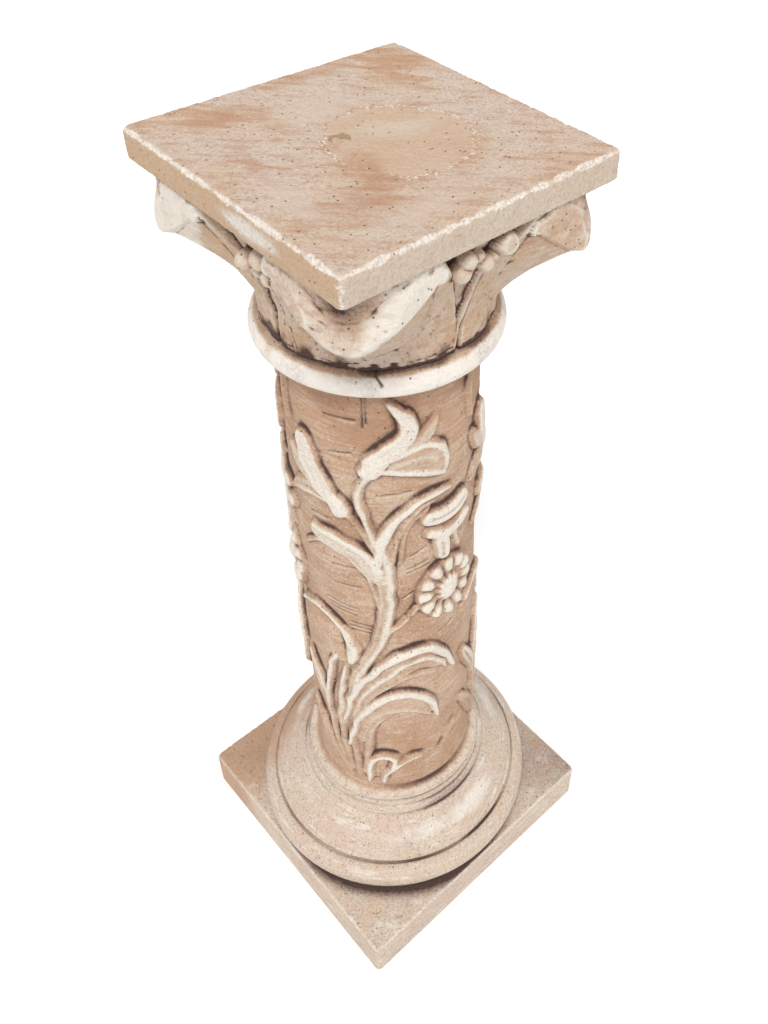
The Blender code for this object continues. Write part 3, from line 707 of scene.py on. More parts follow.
def stone_material(name, under, over, coats, pores=1.0, spots=(), streak=(26, 26, 3.5),
                   streak_turn=0.0):
    """Cast stone: white cement and marble sand, poured in a mould, stained with a thin brown wash.

    To the eye the wash makes cloudy tan and pinkish ground with fine dark pores. The raised parts are
    ivory, partly where the wash was wiped off and partly as painted highlight, and the hollows are dark
    purple-brown, partly dried wash and partly painted shade.

    Pores scale the strength of the ground coats. A streak is the length of a brush mark along each
    axis in mm, and its turn about the column. A coat is a source, a noise that frays it and how
    much, the two ends of its ramp, its strength and its colour. A spot is a name, and in mm and
    degrees its middle, its radii and its turn.
    """
    material = bpy.data.materials.new(name)
    material.use_nodes = True
    tree = material.node_tree
    tree.nodes.clear()
    rows = [("place", "ShaderNodeTexCoord", {}, {})]
    for noise, (size, detail, roughness, distortion) in NOISES.items():
        rows.append((noise, "ShaderNodeTexNoise", {
            "Vector": "place.Object", "Scale": per_mm(size), "Detail": detail,
            "Roughness": roughness, "Distortion": distortion}, {}))
    rows += [
        ("streak place", "ShaderNodeMapping", {"Vector": "place.Object", "Scale": [s * MM for s in streak],
                                               "Rotation": (0, 0, streak_turn)}, PLACED),
        ("streaks", "ShaderNodeTexNoise", {"Vector": "streak place", "Scale": 1.0, "Detail": 5.0,
                                           "Roughness": 0.65}, {}),
        ("warp level", "ShaderNodeVectorMath", {0: "warp.Color", 1: (0.5, 0.5, 0.5)}, MINUS),
        ("warped", "ShaderNodeVectorMath",
         {0: "warp level", 1: (WARP_REACH, WARP_REACH, 0.0), 2: "place.Object"}, TIMES_PLUS),
    ]
    for layer in ("raised", "hollow", "arris", "pit", "chip", "brown", "white"):
        rows.append((layer, "ShaderNodeAttribute", {}, {"attribute_name": layer}))
        rows.append((layer, "ShaderNodeMath", {0: layer + ".Fac", 1: 1.0}, TIMES))
    for spot, middle, radii, turn in spots:
        rows += [
            (spot + " place", "ShaderNodeMapping",
             {"Vector": "warped", "Location": [c * MM for c in middle],
              "Rotation": (0, 0, math.radians(turn)), "Scale": [r * MM for r in radii]}, PLACED),
            (spot + " reach", "ShaderNodeVectorMath", {0: spot + " place"}, {"operation": "LENGTH"}),
            (spot, "ShaderNodeMath", {0: 1.5, 1: spot + " reach.Value"}, MINUS),
            (spot + " edge", "ShaderNodeMath", {0: spot + " reach.Value", 1: 1.0, 2: EDGE_SHARE},
             {"operation": "COMPARE"}),
        ]
    rows.append(("base", "ShaderNodeMapRange", {0: "clouds", 1: 0.4, 2: 0.6}, {}))
    rows.append(("base", "ShaderNodeMix", {0: "base", 6: (*under, 1), 7: (*over, 1)}, COLOURED))
    ground = tuple((*coat[:5], coat[5] * pores, coat[6]) for coat in GROUND_COATS)
    for number, (source, noise, fray, low, high, strength, colour_) in enumerate(ground + coats):
        drift = f"drift {number}"
        rows += [
            (drift, "ShaderNodeMath", {0: noise, 1: fray, 2: source}, TIMES_PLUS),
            (drift, "ShaderNodeMapRange", {0: drift, 1: low + fray / 2, 2: high + fray / 2, 4: strength},
             EASED),
            ("base", "ShaderNodeMix", {0: drift, 6: "base", 7: (*colour_, 1)}, COLOURED),
        ]
    rows += [
        ("base", "ShaderNodeMix", {0: 1.0, 6: "base", 7: (*bpy.context.scene.pedestal_colours.wash, 1)},
         {"data_type": "RGBA", "blend_type": "MULTIPLY"}),
        ("holes", "ShaderNodeTexVoronoi", {"Vector": "place.Object", "Scale": per_mm(HOLE_SIZE)}, {}),
        ("lots", "ShaderNodeSeparateXYZ", {0: "holes.Color"}, {}),
        ("rough", "ShaderNodeMath", {0: "chip", 1: 0.8, 2: 0.06}, TIMES_PLUS),
        ("few", "ShaderNodeMath", {0: "lots.X", 1: "rough"}, LESS),
        ("dot", "ShaderNodeMapRange", {0: "holes.Distance", 1: 0.3, 2: 0.12}, {}),
        ("dot", "ShaderNodeMath", {0: "dot", 1: "few"}, TIMES),
        ("dark", "ShaderNodeMath", {0: "dot", 1: "pit"}, {"operation": "MAXIMUM"}),
        ("darkness", "ShaderNodeMath", {0: "dark", 1: 0.8}, TIMES),
        ("base", "ShaderNodeMix", {0: "darkness", 6: "base", 7: (*linear(HOLE_COLOUR), 1)}, COLOURED),
        ("height", "ShaderNodeMath", {0: "dark", 1: -0.8, 2: "coarse"}, TIMES_PLUS),
        ("height", "ShaderNodeMath", {0: "specks", 1: 0.6, 2: "height"}, TIMES_PLUS),
        ("bump", "ShaderNodeBump", {"Strength": 1.0, "Distance": BUMP_DEPTH, "Height": "height"}, {}),
        ("shader", "ShaderNodeBsdfPrincipled",
         {"Base Color": "base", "Roughness": STONE_ROUGHNESS, "IOR": STONE_IOR, "Normal": "bump"}, {}),
        ("result", "ShaderNodeOutputMaterial", {0: "shader"}, {}),
    ]
    lay(tree, rows)
    return material


def per_mm(size):
    """Scale of a texture whose features are of a size in mm, on coordinates in metres."""
    return 1 / (size * MM)


# Base

def base_rows():
    """Outline of the base from the axis at the top to the plinth's top, as radii and heights."""
    outline = [(20, BASE_TOP), (60, BASE_TOP), (80, BASE_TOP)]
    bead = BEAD_RADIUS - BEAD_ROUNDING
    for step in range(5):
        turn = math.pi / 2 * (1 - step / 4)
        outline.append((bead + BEAD_ROUNDING * math.cos(turn),
                        BASE_TOP - BEAD_ROUNDING * (1 - math.sin(turn))))
    outline += [(BEAD_RADIUS, CYMA_TOP + 1.5), (BEAD_RADIUS - 0.6, CYMA_TOP + 0.4),
                (CYMA_TOP_RADIUS - 1, CYMA_TOP)]
    slope = 46
    fall = CYMA_TOP - TORUS_TOP - 0.6
    for step in range(1, slope + 1):
        share = step / slope
        radius = CYMA_TOP_RADIUS + (CYMA_FOOT_RADIUS - CYMA_TOP_RADIUS) * float(smoothstep(share))
        ridge = sum(rise * math.exp(-((share - place) / width) ** 2) for place, width, rise in CYMA_RIDGES)
        outline.append((radius + ridge, CYMA_TOP - fall * share + 0.5 * ridge))
    foot = TORUS_RADIUS - TORUS_BULGE
    groove = (CYMA_FOOT_RADIUS + foot) / 2
    outline += [(groove - GROOVE_WIDTH / 2, TORUS_TOP - 0.4), (groove - 0.3, TORUS_TOP - GROOVE_DEPTH),
                (groove + 0.3, TORUS_TOP - GROOVE_DEPTH), (foot - 0.4, TORUS_TOP - 0.7)]
    lip = PLINTH_HEIGHT + TORUS_LIP
    for step in range(17):
        turn = math.pi / 2 * (1 - step / 16)
        outline.append((foot + TORUS_BULGE * math.cos(turn), lip + (TORUS_TOP - lip) * math.sin(turn)))
    for step in range(1, 9):
        share = step / 8
        outline.append((TORUS_RADIUS - (TORUS_RADIUS - TORUS_FOOT) * share ** 2,
                        lip - (lip - PLINTH_HEIGHT - 1) * share ** 0.8))
    outline.append((TORUS_FOOT + 0.8, PLINTH_HEIGHT))
    return outline


class PEDESTAL_OT_base(bpy.types.Operator):
    """Make the base: plinth, torus, groove, cyma slope and bead"""

    bl_idname = "pedestal.base"
    bl_label = "Base"

    def execute(self, context):
        """Build the grid row by row, from the bead out to the plinth and under it."""
        angles = around(ROUND_COLUMNS)
        rows = base_rows()
        edge = PLINTH_SIDE / 2
        inner = rows[-1][0]
        shoulder = square(angles, edge - PLINTH_ARRIS, PLINTH_CORNER)
        top_rows = 40
        for step in range(1, top_rows + 1):
            share = step / top_rows
            rows.append((inner + (shoulder - inner) * share, PLINTH_HEIGHT))
        rows += rounded_edge(angles, edge, PLINTH_CORNER, PLINTH_HEIGHT, PLINTH_ARRIS, 5)
        side_rows = 34
        for step in range(1, side_rows + 1):
            height = (PLINTH_HEIGHT - PLINTH_ARRIS) * (1 - step / side_rows) + 1.2 * step / side_rows
            rows.append((square(angles, edge, PLINTH_CORNER), height))
        for inset in (1.2, 8, 30, 70, 110, 135):
            rows.append((square(angles, edge - inset, PLINTH_CORNER * (1 - inset / 140)), 0))
        radius, height = grid(rows, ROUND_COLUMNS)
        points = turned_points(angles, radius, height)
        piece = grid_mesh("base_casting", points, self.layers(points, radius, height))
        colours = context.scene.pedestal_colours
        material = stone_material("stained_cast_stone_base", colours.cream, colours.rose, (
            ("streaks", "specks", 0.5, 0.47, 0.66, 0.5, colours.pale_tan),
            ("streaks", "mottle", 0.5, 0.46, 0.3, 0.55, colours.ivory),
            # Tan on the base's left and back is partly painted shade, and ivory on the mouldings' crests
            # is painted highlight
            ("brown", "mottle", 0.9, 0.2, 0.9, 0.85, colours.tan),
            ("raised", "mottle", 1.2, 0.3, 1.1, 0.75, colours.ivory),
            # Umber and the darkest colour in the hollows are painted shade, with dirt in patches
            ("hollow", "specks", 0.9, 0.12, 0.95, 0.85, colours.umber),
            ("hollow", "grit", 0.4, 0.78, 1.0, 0.75, colours.deep_shade_and_dirt),
            ("arris", "specks", 1.3, 0.45, 1.1, 0.6, colours.ivory),
        ), 0.6)
        finish_casting(piece, "base", material, BASE_TRIANGLES, **BASE_CHIPS)
        return {"FINISHED"}

    def layers(self, points, radius, height):
        """Where the base is worn, stained, darkened by painted shade and lit by painted highlights."""
        x, y = points[..., 0], points[..., 1]
        depth = hollows(points, 14)
        on_plinth = height < PLINTH_HEIGHT + 0.5
        on_top = on_plinth * (height > PLINTH_HEIGHT - 1)
        reach = np.abs(points[..., :2]).max(-1)
        angle = np.degrees(np.arctan2(y, x))
        arris = smoothstep((reach - PLINTH_SIDE / 2 + 3.5) / 2.5) * (height > PLINTH_HEIGHT - 4)
        patches = patchwork(angle + 180, height, 24, 11)
        wide = patchwork(angle + 180, radius, 40, 12, 110)
        # Painted shadow of the torus lies on the plinth round its foot and under its lip, strongest at the
        # front, with dirt in clouds to the right and off the front
        front = smoothstep(1.2 - apart(angle, BASE_FRONT) / 60)
        right = smoothstep((x + 0.5 * y - 40) / 80)
        off_front = smoothstep((85 - x + y) / 90)
        # Painted shadow of the torus on the plinth, wider and darker at the front
        under = smoothstep(1 - (radius - TORUS_FOOT) / (10 + 13 * front)) * on_top * (0.6 + 0.7 * front)
        under += smoothstep(1 - (height - PLINTH_HEIGHT) / 9) * (radius < TORUS_RADIUS) * ~on_plinth
        under += (0.3 * right + 0.45 * off_front) * on_top * (0.4 + 0.7 * wide)
        # On the mouldings painted shade lies under the bead, in the groove and in every hollow, mixed with
        # dirt in patches
        foot = band(height, CYMA_TOP - 4, 7) * (0.1 + 0.6 * wide ** 2)
        groove = band(radius, DARK_GROOVE, 2.6) * (np.abs(height - TORUS_TOP) < 8)
        hollow = np.clip(depth / 0.6, 0, 1) * (0.1 + 0.8 * wide) + under + foot * 0.8
        hollow += groove * (0.05 + 1.1 * wide ** 2 * patches)
        hollow += (0.1 + 0.6 * patches ** 2) * wide * ~on_plinth
        # Tan towards the left and back: a tan stain, deepened as painted shade of the side away from the
        # light
        brown = np.maximum(smoothstep((-x - 30) / 90), 0.8 * smoothstep((y - x - 60) / 160))
        # Painted highlights in ivory on the cyma's bulge and on the torus's crown
        raised = band(radius, CYMA_HIGHLIGHT, 15) * (height > TORUS_TOP) * (0.1 + 1.1 * wide)
        torus = band(radius, TORUS_HIGHLIGHT, 6) * (height > PLINTH_HEIGHT + 4)
        raised += torus * 0.8 * patches
        return {"arris": arris * on_plinth * 0.8, "hollow": np.clip(hollow, 0, 1),
                "raised": np.clip(raised, 0, 1), "brown": brown}


# Shaft

def smooth_line(points, steps=6):
    """Points along a smooth curve through a few points."""
    knots = np.array([points[0], *points, points[-1]], dtype=float)
    share = np.linspace(0, 1, steps, endpoint=False)[:, None]
    runs = []
    for a, b, c, d in zip(knots, knots[1:], knots[2:], knots[3:]):
        runs.append(0.5 * (2 * b + (c - a) * share + (2 * a - 5 * b + 4 * c - d) * share ** 2
                           + (3 * b - a - 3 * c + d) * share ** 3))
    return np.vstack([*runs, knots[-1:]])


def beside_stroke(line, widths, across, up):
    """How far each drawn point lies beside a stroke, in half widths, with the left side positive."""
    nearest = np.full(across.shape, np.inf)
    side = np.zeros(across.shape)
    for index in range(len(line) - 1):
        start, run = line[index], line[index + 1] - line[index]
        share = np.clip(((across - start[0]) * run[0] + (up - start[1]) * run[1]) / np.dot(run, run), 0, 1)
        gap_across = across - start[0] - share * run[0]
        gap_up = up - start[1] - share * run[1]
        width = widths[index] + share * (widths[index + 1] - widths[index])
        offset = np.hypot(gap_across, gap_up) / width
        sign = np.where(run[0] * gap_up - run[1] * gap_across >= 0, 1.0, -1.0)
        closer = offset < nearest
        nearest = np.where(closer, offset, nearest)
        side = np.where(closer, sign * offset, side)
    return side


def section_height(side, section):
    """Height of a stroke's cross-section, 0 to 1, at a share of its half width."""
    sheet, ridges = SECTIONS[section]
    height = sheet * smoothstep((1 - np.abs(side)) / SHEET_EDGE)
    for place, width, level in ridges:
        height = np.maximum(height, level * ball((side - place) / width))
    return height


def rosette_height(across, up):
    """Round flower: petals like spoons about a domed button."""
    middle = math.radians(ROSETTE_PLACE[0]) * DRAWN_RADIUS
    right = (across - middle) / ROSETTE_HALF_WIDTH
    rise = (up - ROSETTE_PLACE[1]) / ROSETTE_HALF_HEIGHT
    reach = np.hypot(right, rise)
    turn = np.arctan2(rise, right) * ROSETTE_PETALS / 2
    petals = (PETAL_RISE + PETAL_CROWN * np.abs(np.cos(turn))) * smoothstep((1 - reach) / PETAL_EDGE)
    button = BUTTON_RADIUS / ROSETTE_HALF_WIDTH
    moat = 1 - MOAT_DEPTH * band(reach, button * MOAT_REACH, MOAT_WIDTH)
    return np.maximum(petals * moat, BUTTON_RISE * ball(reach / button))


def carving(angles, heights):
    """Rise of the carving in mm over one repeat, on a grid of angles and drawn heights."""
    across, up = np.meshgrid(np.radians(angles) * DRAWN_RADIUS, heights)
    turns, levels = np.meshgrid(angles * REPEATS, heights)
    wobbles = [lattice_noise(turns, levels, 11, seed, DRAWN_RADIUS / REPEATS) for seed in (51, 52)]
    across, up = across + HAND_WOBBLE * wobbles[0], up + HAND_WOBBLE * wobbles[1]
    relief = np.zeros(across.shape)
    drawn = np.radians(angles) * DRAWN_RADIUS
    period = 2 * math.pi * DRAWN_RADIUS / REPEATS
    for shift in (-period, 0, period):
        relief = np.maximum(relief, rosette_height(across - shift, up))
        for _, points, half_widths, rise, section in STROKES:
            line = smooth_line(points)
            line[:, 0] = np.radians(line[:, 0]) * DRAWN_RADIUS + shift
            widths = np.interp(np.linspace(0, 1, len(line)), np.linspace(0, 1, len(half_widths)),
                               half_widths)
            margin = max(half_widths) + 2
            low, high = line.min(0) - margin, line.max(0) + margin
            columns = np.flatnonzero((drawn > low[0]) & (drawn < high[0]))
            rows = np.flatnonzero((heights > low[1]) & (heights < high[1]))
            if len(columns) == 0 or len(rows) == 0:
                continue
            part = np.ix_(rows, columns)
            side = beside_stroke(line, widths, across[part], up[part])
            relief[part] = np.maximum(relief[part], rise * section_height(side, section))
    ends = np.minimum(heights, SHAFT_LENGTH - heights)[:, None]
    return relief * smoothstep(ends / END_FADE + 0.1)


def cuts(angles, heights):
    """Depth in mm of the short tool cuts in the ground, over one repeat."""
    across, up = np.meshgrid(np.radians(angles) * DRAWN_RADIUS, heights)
    depth = np.zeros(across.shape)
    for first, last, low, high in CUTS:
        line = np.array([(math.radians(first) * DRAWN_RADIUS, low),
                         (math.radians(last) * DRAWN_RADIUS, high)])
        side = beside_stroke(line, [CUT_HALF_WIDTH, CUT_HALF_WIDTH], across, up)
        depth = np.maximum(depth, CUT_DEPTH * smoothstep(1 - np.abs(side)))
    return depth


def blurred(field, sigma):
    """Gaussian blur over a grid that is closed in its columns, sigma in cells."""
    pad = int(4 * sigma)
    tall = np.vstack([np.repeat(field[:1], pad, 0), field, np.repeat(field[-1:], pad, 0)])
    up = np.fft.fftfreq(tall.shape[0])[:, None]
    beside = np.fft.fftfreq(tall.shape[1])[None]
    kernel = np.exp(-2 * (math.pi * sigma) ** 2 * (up ** 2 + beside ** 2))
    return np.fft.ifft2(np.fft.fft2(tall) * kernel).real[pad:-pad]


class PEDESTAL_OT_shaft(bpy.types.Operator):
    """Make the shaft: ring, carved drum and flared foot"""

    bl_idname = "pedestal.shaft"
    bl_label = "Shaft"

    def execute(self, context):
        """Draw the relief on one repeat, wrap it round the drum and add the ring and foot."""
        angles = around(SHAFT_COLUMNS, PATTERN_TURN - 60)
        drawn = around(SHAFT_COLUMNS, -60)[:SHAFT_COLUMNS // REPEATS]
        heights = np.linspace(SHAFT_LENGTH, 0, SHAFT_ROWS)
        relief = blurred(np.tile(carving(drawn, heights), (1, REPEATS)), RELIEF_SOFTNESS)
        relief = relief * context.scene.pedestal_sizes.relief
        cut = np.tile(cuts(drawn, heights), (1, REPEATS)) * (relief < 0.4)
        spot_angles, spot_heights = np.meshgrid(angles, heights)
        # The ground was smoothed by hand: soft waves of 3 cm and 1 cm, and fine level tool strokes
        waves = 0.5 * lattice_noise(spot_angles, spot_heights, 30, 3)
        waves += 0.3 * lattice_noise(spot_angles, spot_heights, 11, 4)
        strokes = TOOL_STROKES * lattice_noise(spot_angles, spot_heights * 6, 24, 5)
        lift = relief * (1 + CARVING_WAVES * waves) + waves * GROUND_WAVES + strokes * (relief < 1) - cut
        share = (SHAFT_LENGTH - heights)[:, None] / SHAFT_LENGTH
        drum = SHAFT_TOP_RADIUS + (SHAFT_FOOT_RADIUS - SHAFT_TOP_RADIUS) * share + lift
        drum_height = (CARVING_BOTTOM + heights)[:, None] * np.ones(SHAFT_COLUMNS)
        above, below = self.ring_rows(angles), self.foot_rows()
        radius = np.vstack([above[0], drum, below[0]])
        height = np.vstack([above[1], drum_height, below[1]])
        layers = self.layers(relief, cut, angles, heights, len(above[0]), len(below[0]))
        piece = grid_mesh("shaft_casting", turned_points(angles, radius, height), layers)
        colours = context.scene.pedestal_colours
        material = stone_material("stained_cast_stone_shaft", colours.tan, colours.pale_tan, (
            ("streaks", "specks", 0.4, 0.46, 0.66, 0.55, colours.rust),
            ("streaks", "specks", 0.4, 0.46, 0.28, 0.5, colours.cream),
            ("brown", "streaks", 1.2, 0.15, 0.9, 0.85, colours.rust),
            # Cream and ivory on the raised carving are partly painted highlight
            ("raised", "mottle", 1.1, 0.15, 1.0, 0.85, colours.cream),
            ("raised", "specks", 1.4, 0.5, 1.15, 0.9, colours.ivory),
            ("mottle", "specks", 0.8, 0.6, 0.8, 0.5, colours.tan),
            ("white", "mottle", 1.0, 0.15, 1.0, 0.85, colours.white),
            # Umber and the darkest colour in the hollows are painted shade, with dirt in patches
            ("hollow", "specks", 0.8, 0.15, 0.9, 0.85, colours.umber),
            ("hollow", "grit", 0.4, 0.75, 1.0, 0.8, colours.deep_shade_and_dirt),
        ), 0.6)
        finish_casting(piece, "shaft", material, SHAFT_TRIANGLES)
        return {"FINISHED"}

    def crack(self, angles, turn):
        """Share of the small crack over the ring, which wanders as it comes down."""
        gap = angles - CRACK_ANGLE - 1.2 * np.sin(4 * turn)
        return np.exp(-(gap / 0.9) ** 2) * smoothstep((turn - 0.1) / 0.3)

    def ring_rows(self, angles):
        """Radii and heights from the seat over the ring to the top of the drum."""
        middle, height = RING_RADIUS - RING_TUBE, CARVING_TOP + RING_MIDDLE
        rows = [(20, SHAFT_TOP), (60, SHAFT_TOP), (SEAT_RADIUS, SHAFT_TOP)]
        for step in range(27):
            turn = math.radians(78 - 160 * step / 26)
            tube = RING_TUBE - CRACK_DEPTH * self.crack(angles, turn)
            rows.append((middle + tube * math.cos(turn), height + tube * math.sin(turn)))
        rows.append((SHAFT_TOP_RADIUS + 1.5, CARVING_TOP + 0.7))
        return grid(rows, SHAFT_COLUMNS)

    def foot_rows(self):
        """Radii and heights of the flare, the foot's edge and the underside."""
        rows = []
        for step in range(1, 13):
            turn = math.pi / 2 * step / 12
            rows.append((SHAFT_FOOT_RADIUS + (FOOT_RADIUS - SHAFT_FOOT_RADIUS) * (1 - math.cos(turn)),
                         CARVING_BOTTOM - FLARE_HEIGHT * math.sin(turn)))
        rows += [(FOOT_RADIUS, SHAFT_BOTTOM + 3.2), (FOOT_RADIUS, SHAFT_BOTTOM + FOOT_CHAMFER),
                 (FOOT_RADIUS - FOOT_CHAMFER, SHAFT_BOTTOM), (60, SHAFT_BOTTOM), (20, SHAFT_BOTTOM)]
        return grid(rows, SHAFT_COLUMNS)

    def layers(self, relief, cut, angles, heights, above, below):
        """Where the shaft is raised, hollow, brown and worn, row by row."""
        step_round = 360 / SHAFT_COLUMNS * math.radians(1) * DRAWN_RADIUS
        spot_angles, spot_heights = np.meshgrid(angles, heights)
        up = heights[:, None]
        patches = patchwork(spot_angles, spot_heights, 16, 21)
        # Painted shade lies at the foot of the carving, a painted shadow along its upper edges, painted
        # shade in the cuts and under the ring, with dirt in patches
        # Painted shade: a thin line at the foot of the carving and a broad halo round it
        near = np.clip((blurred(relief, 0.9 / step_round) - relief) / 0.42, 0, 1)
        broad = np.clip((blurred(relief, 3.5 / step_round) - relief) / 1.6, 0, 1)
        rows_up = int(round(4 / (SHAFT_LENGTH / SHAFT_ROWS)))
        # Painted shadow on the ground just above the carving's upper edges
        ledge_shadow = np.clip((np.roll(relief, -rows_up, axis=0) - relief - 1.2) / 2.5, 0, 1)
        # Painted shade on the ground under the ring, growing towards the top
        shade_under_ring = smoothstep((up - RING_SHADE_START) / (SHAFT_LENGTH - RING_SHADE_START))
        hollow = (0.3 + 0.7 * patches) * near + (0.1 + 0.35 * patches) * broad
        hollow += 0.7 * patches ** 2 * ledge_shadow + 0.7 * cut
        hollow += (0.05 + 0.42 * shade_under_ring) * patches * (relief < 2)
        # The raised carving is ivory, partly wiped wash and partly painted highlight, less so near the
        # foot, and the lips of the cuts get a painted highlight
        foot_fade = 0.45 + 0.55 * smoothstep((up - 60) / 110)
        foot_fade = np.maximum(foot_fade, smoothstep((relief - 5.4) / 1.2))
        raised = smoothstep((relief - 2.2) / 3.4) * (1 - 0.5 * near) * foot_fade
        raised = np.maximum(raised, 0.6 * patches * smoothstep(1.2 - up / 14))
        raised += 0.7 * np.roll(cut, 2, axis=0)
        brown = 0.22 + 0.5 * smoothstep((up - 400) / 110) + 0.2 * smoothstep(1 - up / 120)
        brown = brown + 0.3 * (patches - 0.5)
        # The ring is wiped white on its crown, dark on its inner side, in the crack and in patches
        seat, lip = np.ones((3, SHAFT_COLUMNS)), np.ones((1, SHAFT_COLUMNS))
        tube_rows = above - len(seat) - len(lip)
        level = np.linspace(1, -1, tube_rows)[:, None]
        ring_patches = patchwork(spot_angles[:tube_rows], spot_heights[:tube_rows], 14, 22)
        inner = smoothstep((level - 0.76 + 0.5 * (ring_patches - 0.5)) / 0.3)
        inner = np.maximum(inner * 0.85, self.crack(angles, np.radians(80 * level - 2)))
        inner = np.maximum(inner, 0.42 * ring_patches ** 2 * (level > -0.6))
        worn = smoothstep((0.9 - np.abs(level)) / 0.35) * (0.75 + 0.35 * ring_patches)
        ring_hollow = np.vstack([0.95 * seat, inner, 0.75 * lip])
        ring_white = np.vstack([0 * seat, worn, 0 * lip])
        # The foot is dark where it meets the drum and in the joint, most of all on the right
        foot_share = np.linspace(0, 1, below)[:, None] * lip
        right = band(apart(angles, SHAFT_RIGHT), 0, 55)
        foot_hollow = band(foot_share, 0.1, 0.4) * (0.2 + 0.8 * right)
        foot_hollow = foot_hollow + smoothstep((foot_share - 0.7) / 0.06) * (0.35 + 0.65 * right)
        foot_worn = smoothstep(foot_share * 2)
        return {
            "raised": np.vstack([ring_white * 0.7, raised, 0.7 * foot_worn]),
            "hollow": np.clip(np.vstack([ring_hollow, hollow, foot_hollow]), 0, 1),
            "brown": np.vstack([0 * ring_white, brown, 0.3 + 0 * foot_share]),
            "white": np.vstack([ring_white, 0 * relief, 0.3 * foot_worn]),
        }


# Capital

def fleurons(angles, radius, height):
    """Push the bell out where the lobes of the fleurons and the curls of the leaves stand."""
    for face, lobes in FLEURONS + tuple((corner, CURLS) for corner in (45, 135, 225, 315)):
        for turn, drop, reach, size in lobes:
            gap = np.radians((angles - face - turn + 180) % 360 - 180)
            beside = (reach * np.sin(gap)) ** 2 + (height - SLAB_BOTTOM + drop) ** 2
            near = (np.abs(gap) < 0.5) & (beside < size ** 2)
            front = reach * np.cos(gap) + np.sqrt(np.where(near, size ** 2 - beside, 0))
            radius = np.where(near, np.maximum(radius, front), radius)
    return radius


def corner_shape(angles):
    """Angle from the nearest corner, and the reach and fall of the leaf's tip there."""
    from_corner = np.abs(angles % 90 - 45)
    spread = np.clip(from_corner / TIP_SPREAD, 0, 1)
    front = smoothstep(1 - (apart(angles, FRONT_CORNER) - 20) / 20)
    radius = TIP_RADIUS + (FRONT_TIP_RADIUS - TIP_RADIUS) * front
    radius = radius - (radius - TIP_SIDE_RADIUS) * spread ** TIP_CURVE
    deepest = TIP_FALL + (FRONT_TIP_FALL - TIP_FALL) * front
    along = (np.hypot(from_corner, RIM_KEEL) - RIM_KEEL) / (math.hypot(TIP_SPREAD, RIM_KEEL) - RIM_KEEL)
    return from_corner, radius, deepest - (deepest - TIP_END) * np.clip(along, 0, 1)


def bell_surface(angles, height):
    """Radius of the bell with its corner leaves up to their rims, and the stalks."""
    share = np.clip((height - CAPITAL_BOTTOM) / BELL_HEIGHT, 0, 1)
    from_corner, _, fall = corner_shape(angles)
    bell = BELL_RADIUS + BELL_FLARE * share ** 2
    rim_share = 1 - fall / BELL_HEIGHT
    breadth = 1 - (np.hypot(from_corner, LEAF_KEEL) - LEAF_KEEL) / LEAF_FADE
    body = BELL_RADIUS + LEAF_REACH * np.clip(share / rim_share, 0, 1) ** LEAF_CURVE * breadth
    inside_edge = smoothstep((LEAF_EDGE - LEAF_EDGE_TURN * share ** 2 - from_corner) / 1.2)
    leaf = bell + (np.maximum(bell + LEAF_STEP, body) - bell) * inside_edge
    from_face = (angles + 45) % 90 - 45
    path = np.where(apart(angles, LEFT_FACE) < 45, np.interp(height, *zip(*STALK_LEFT)),
                    np.interp(height, *zip(*STALK_RIGHT)))
    stalk_side = np.radians(from_face - path) * bell / STALK_WIDTH
    stalk = bell + STALK_RISE * ball(stalk_side) * smoothstep((0.82 - share) / 0.1)
    return np.maximum(leaf, stalk)


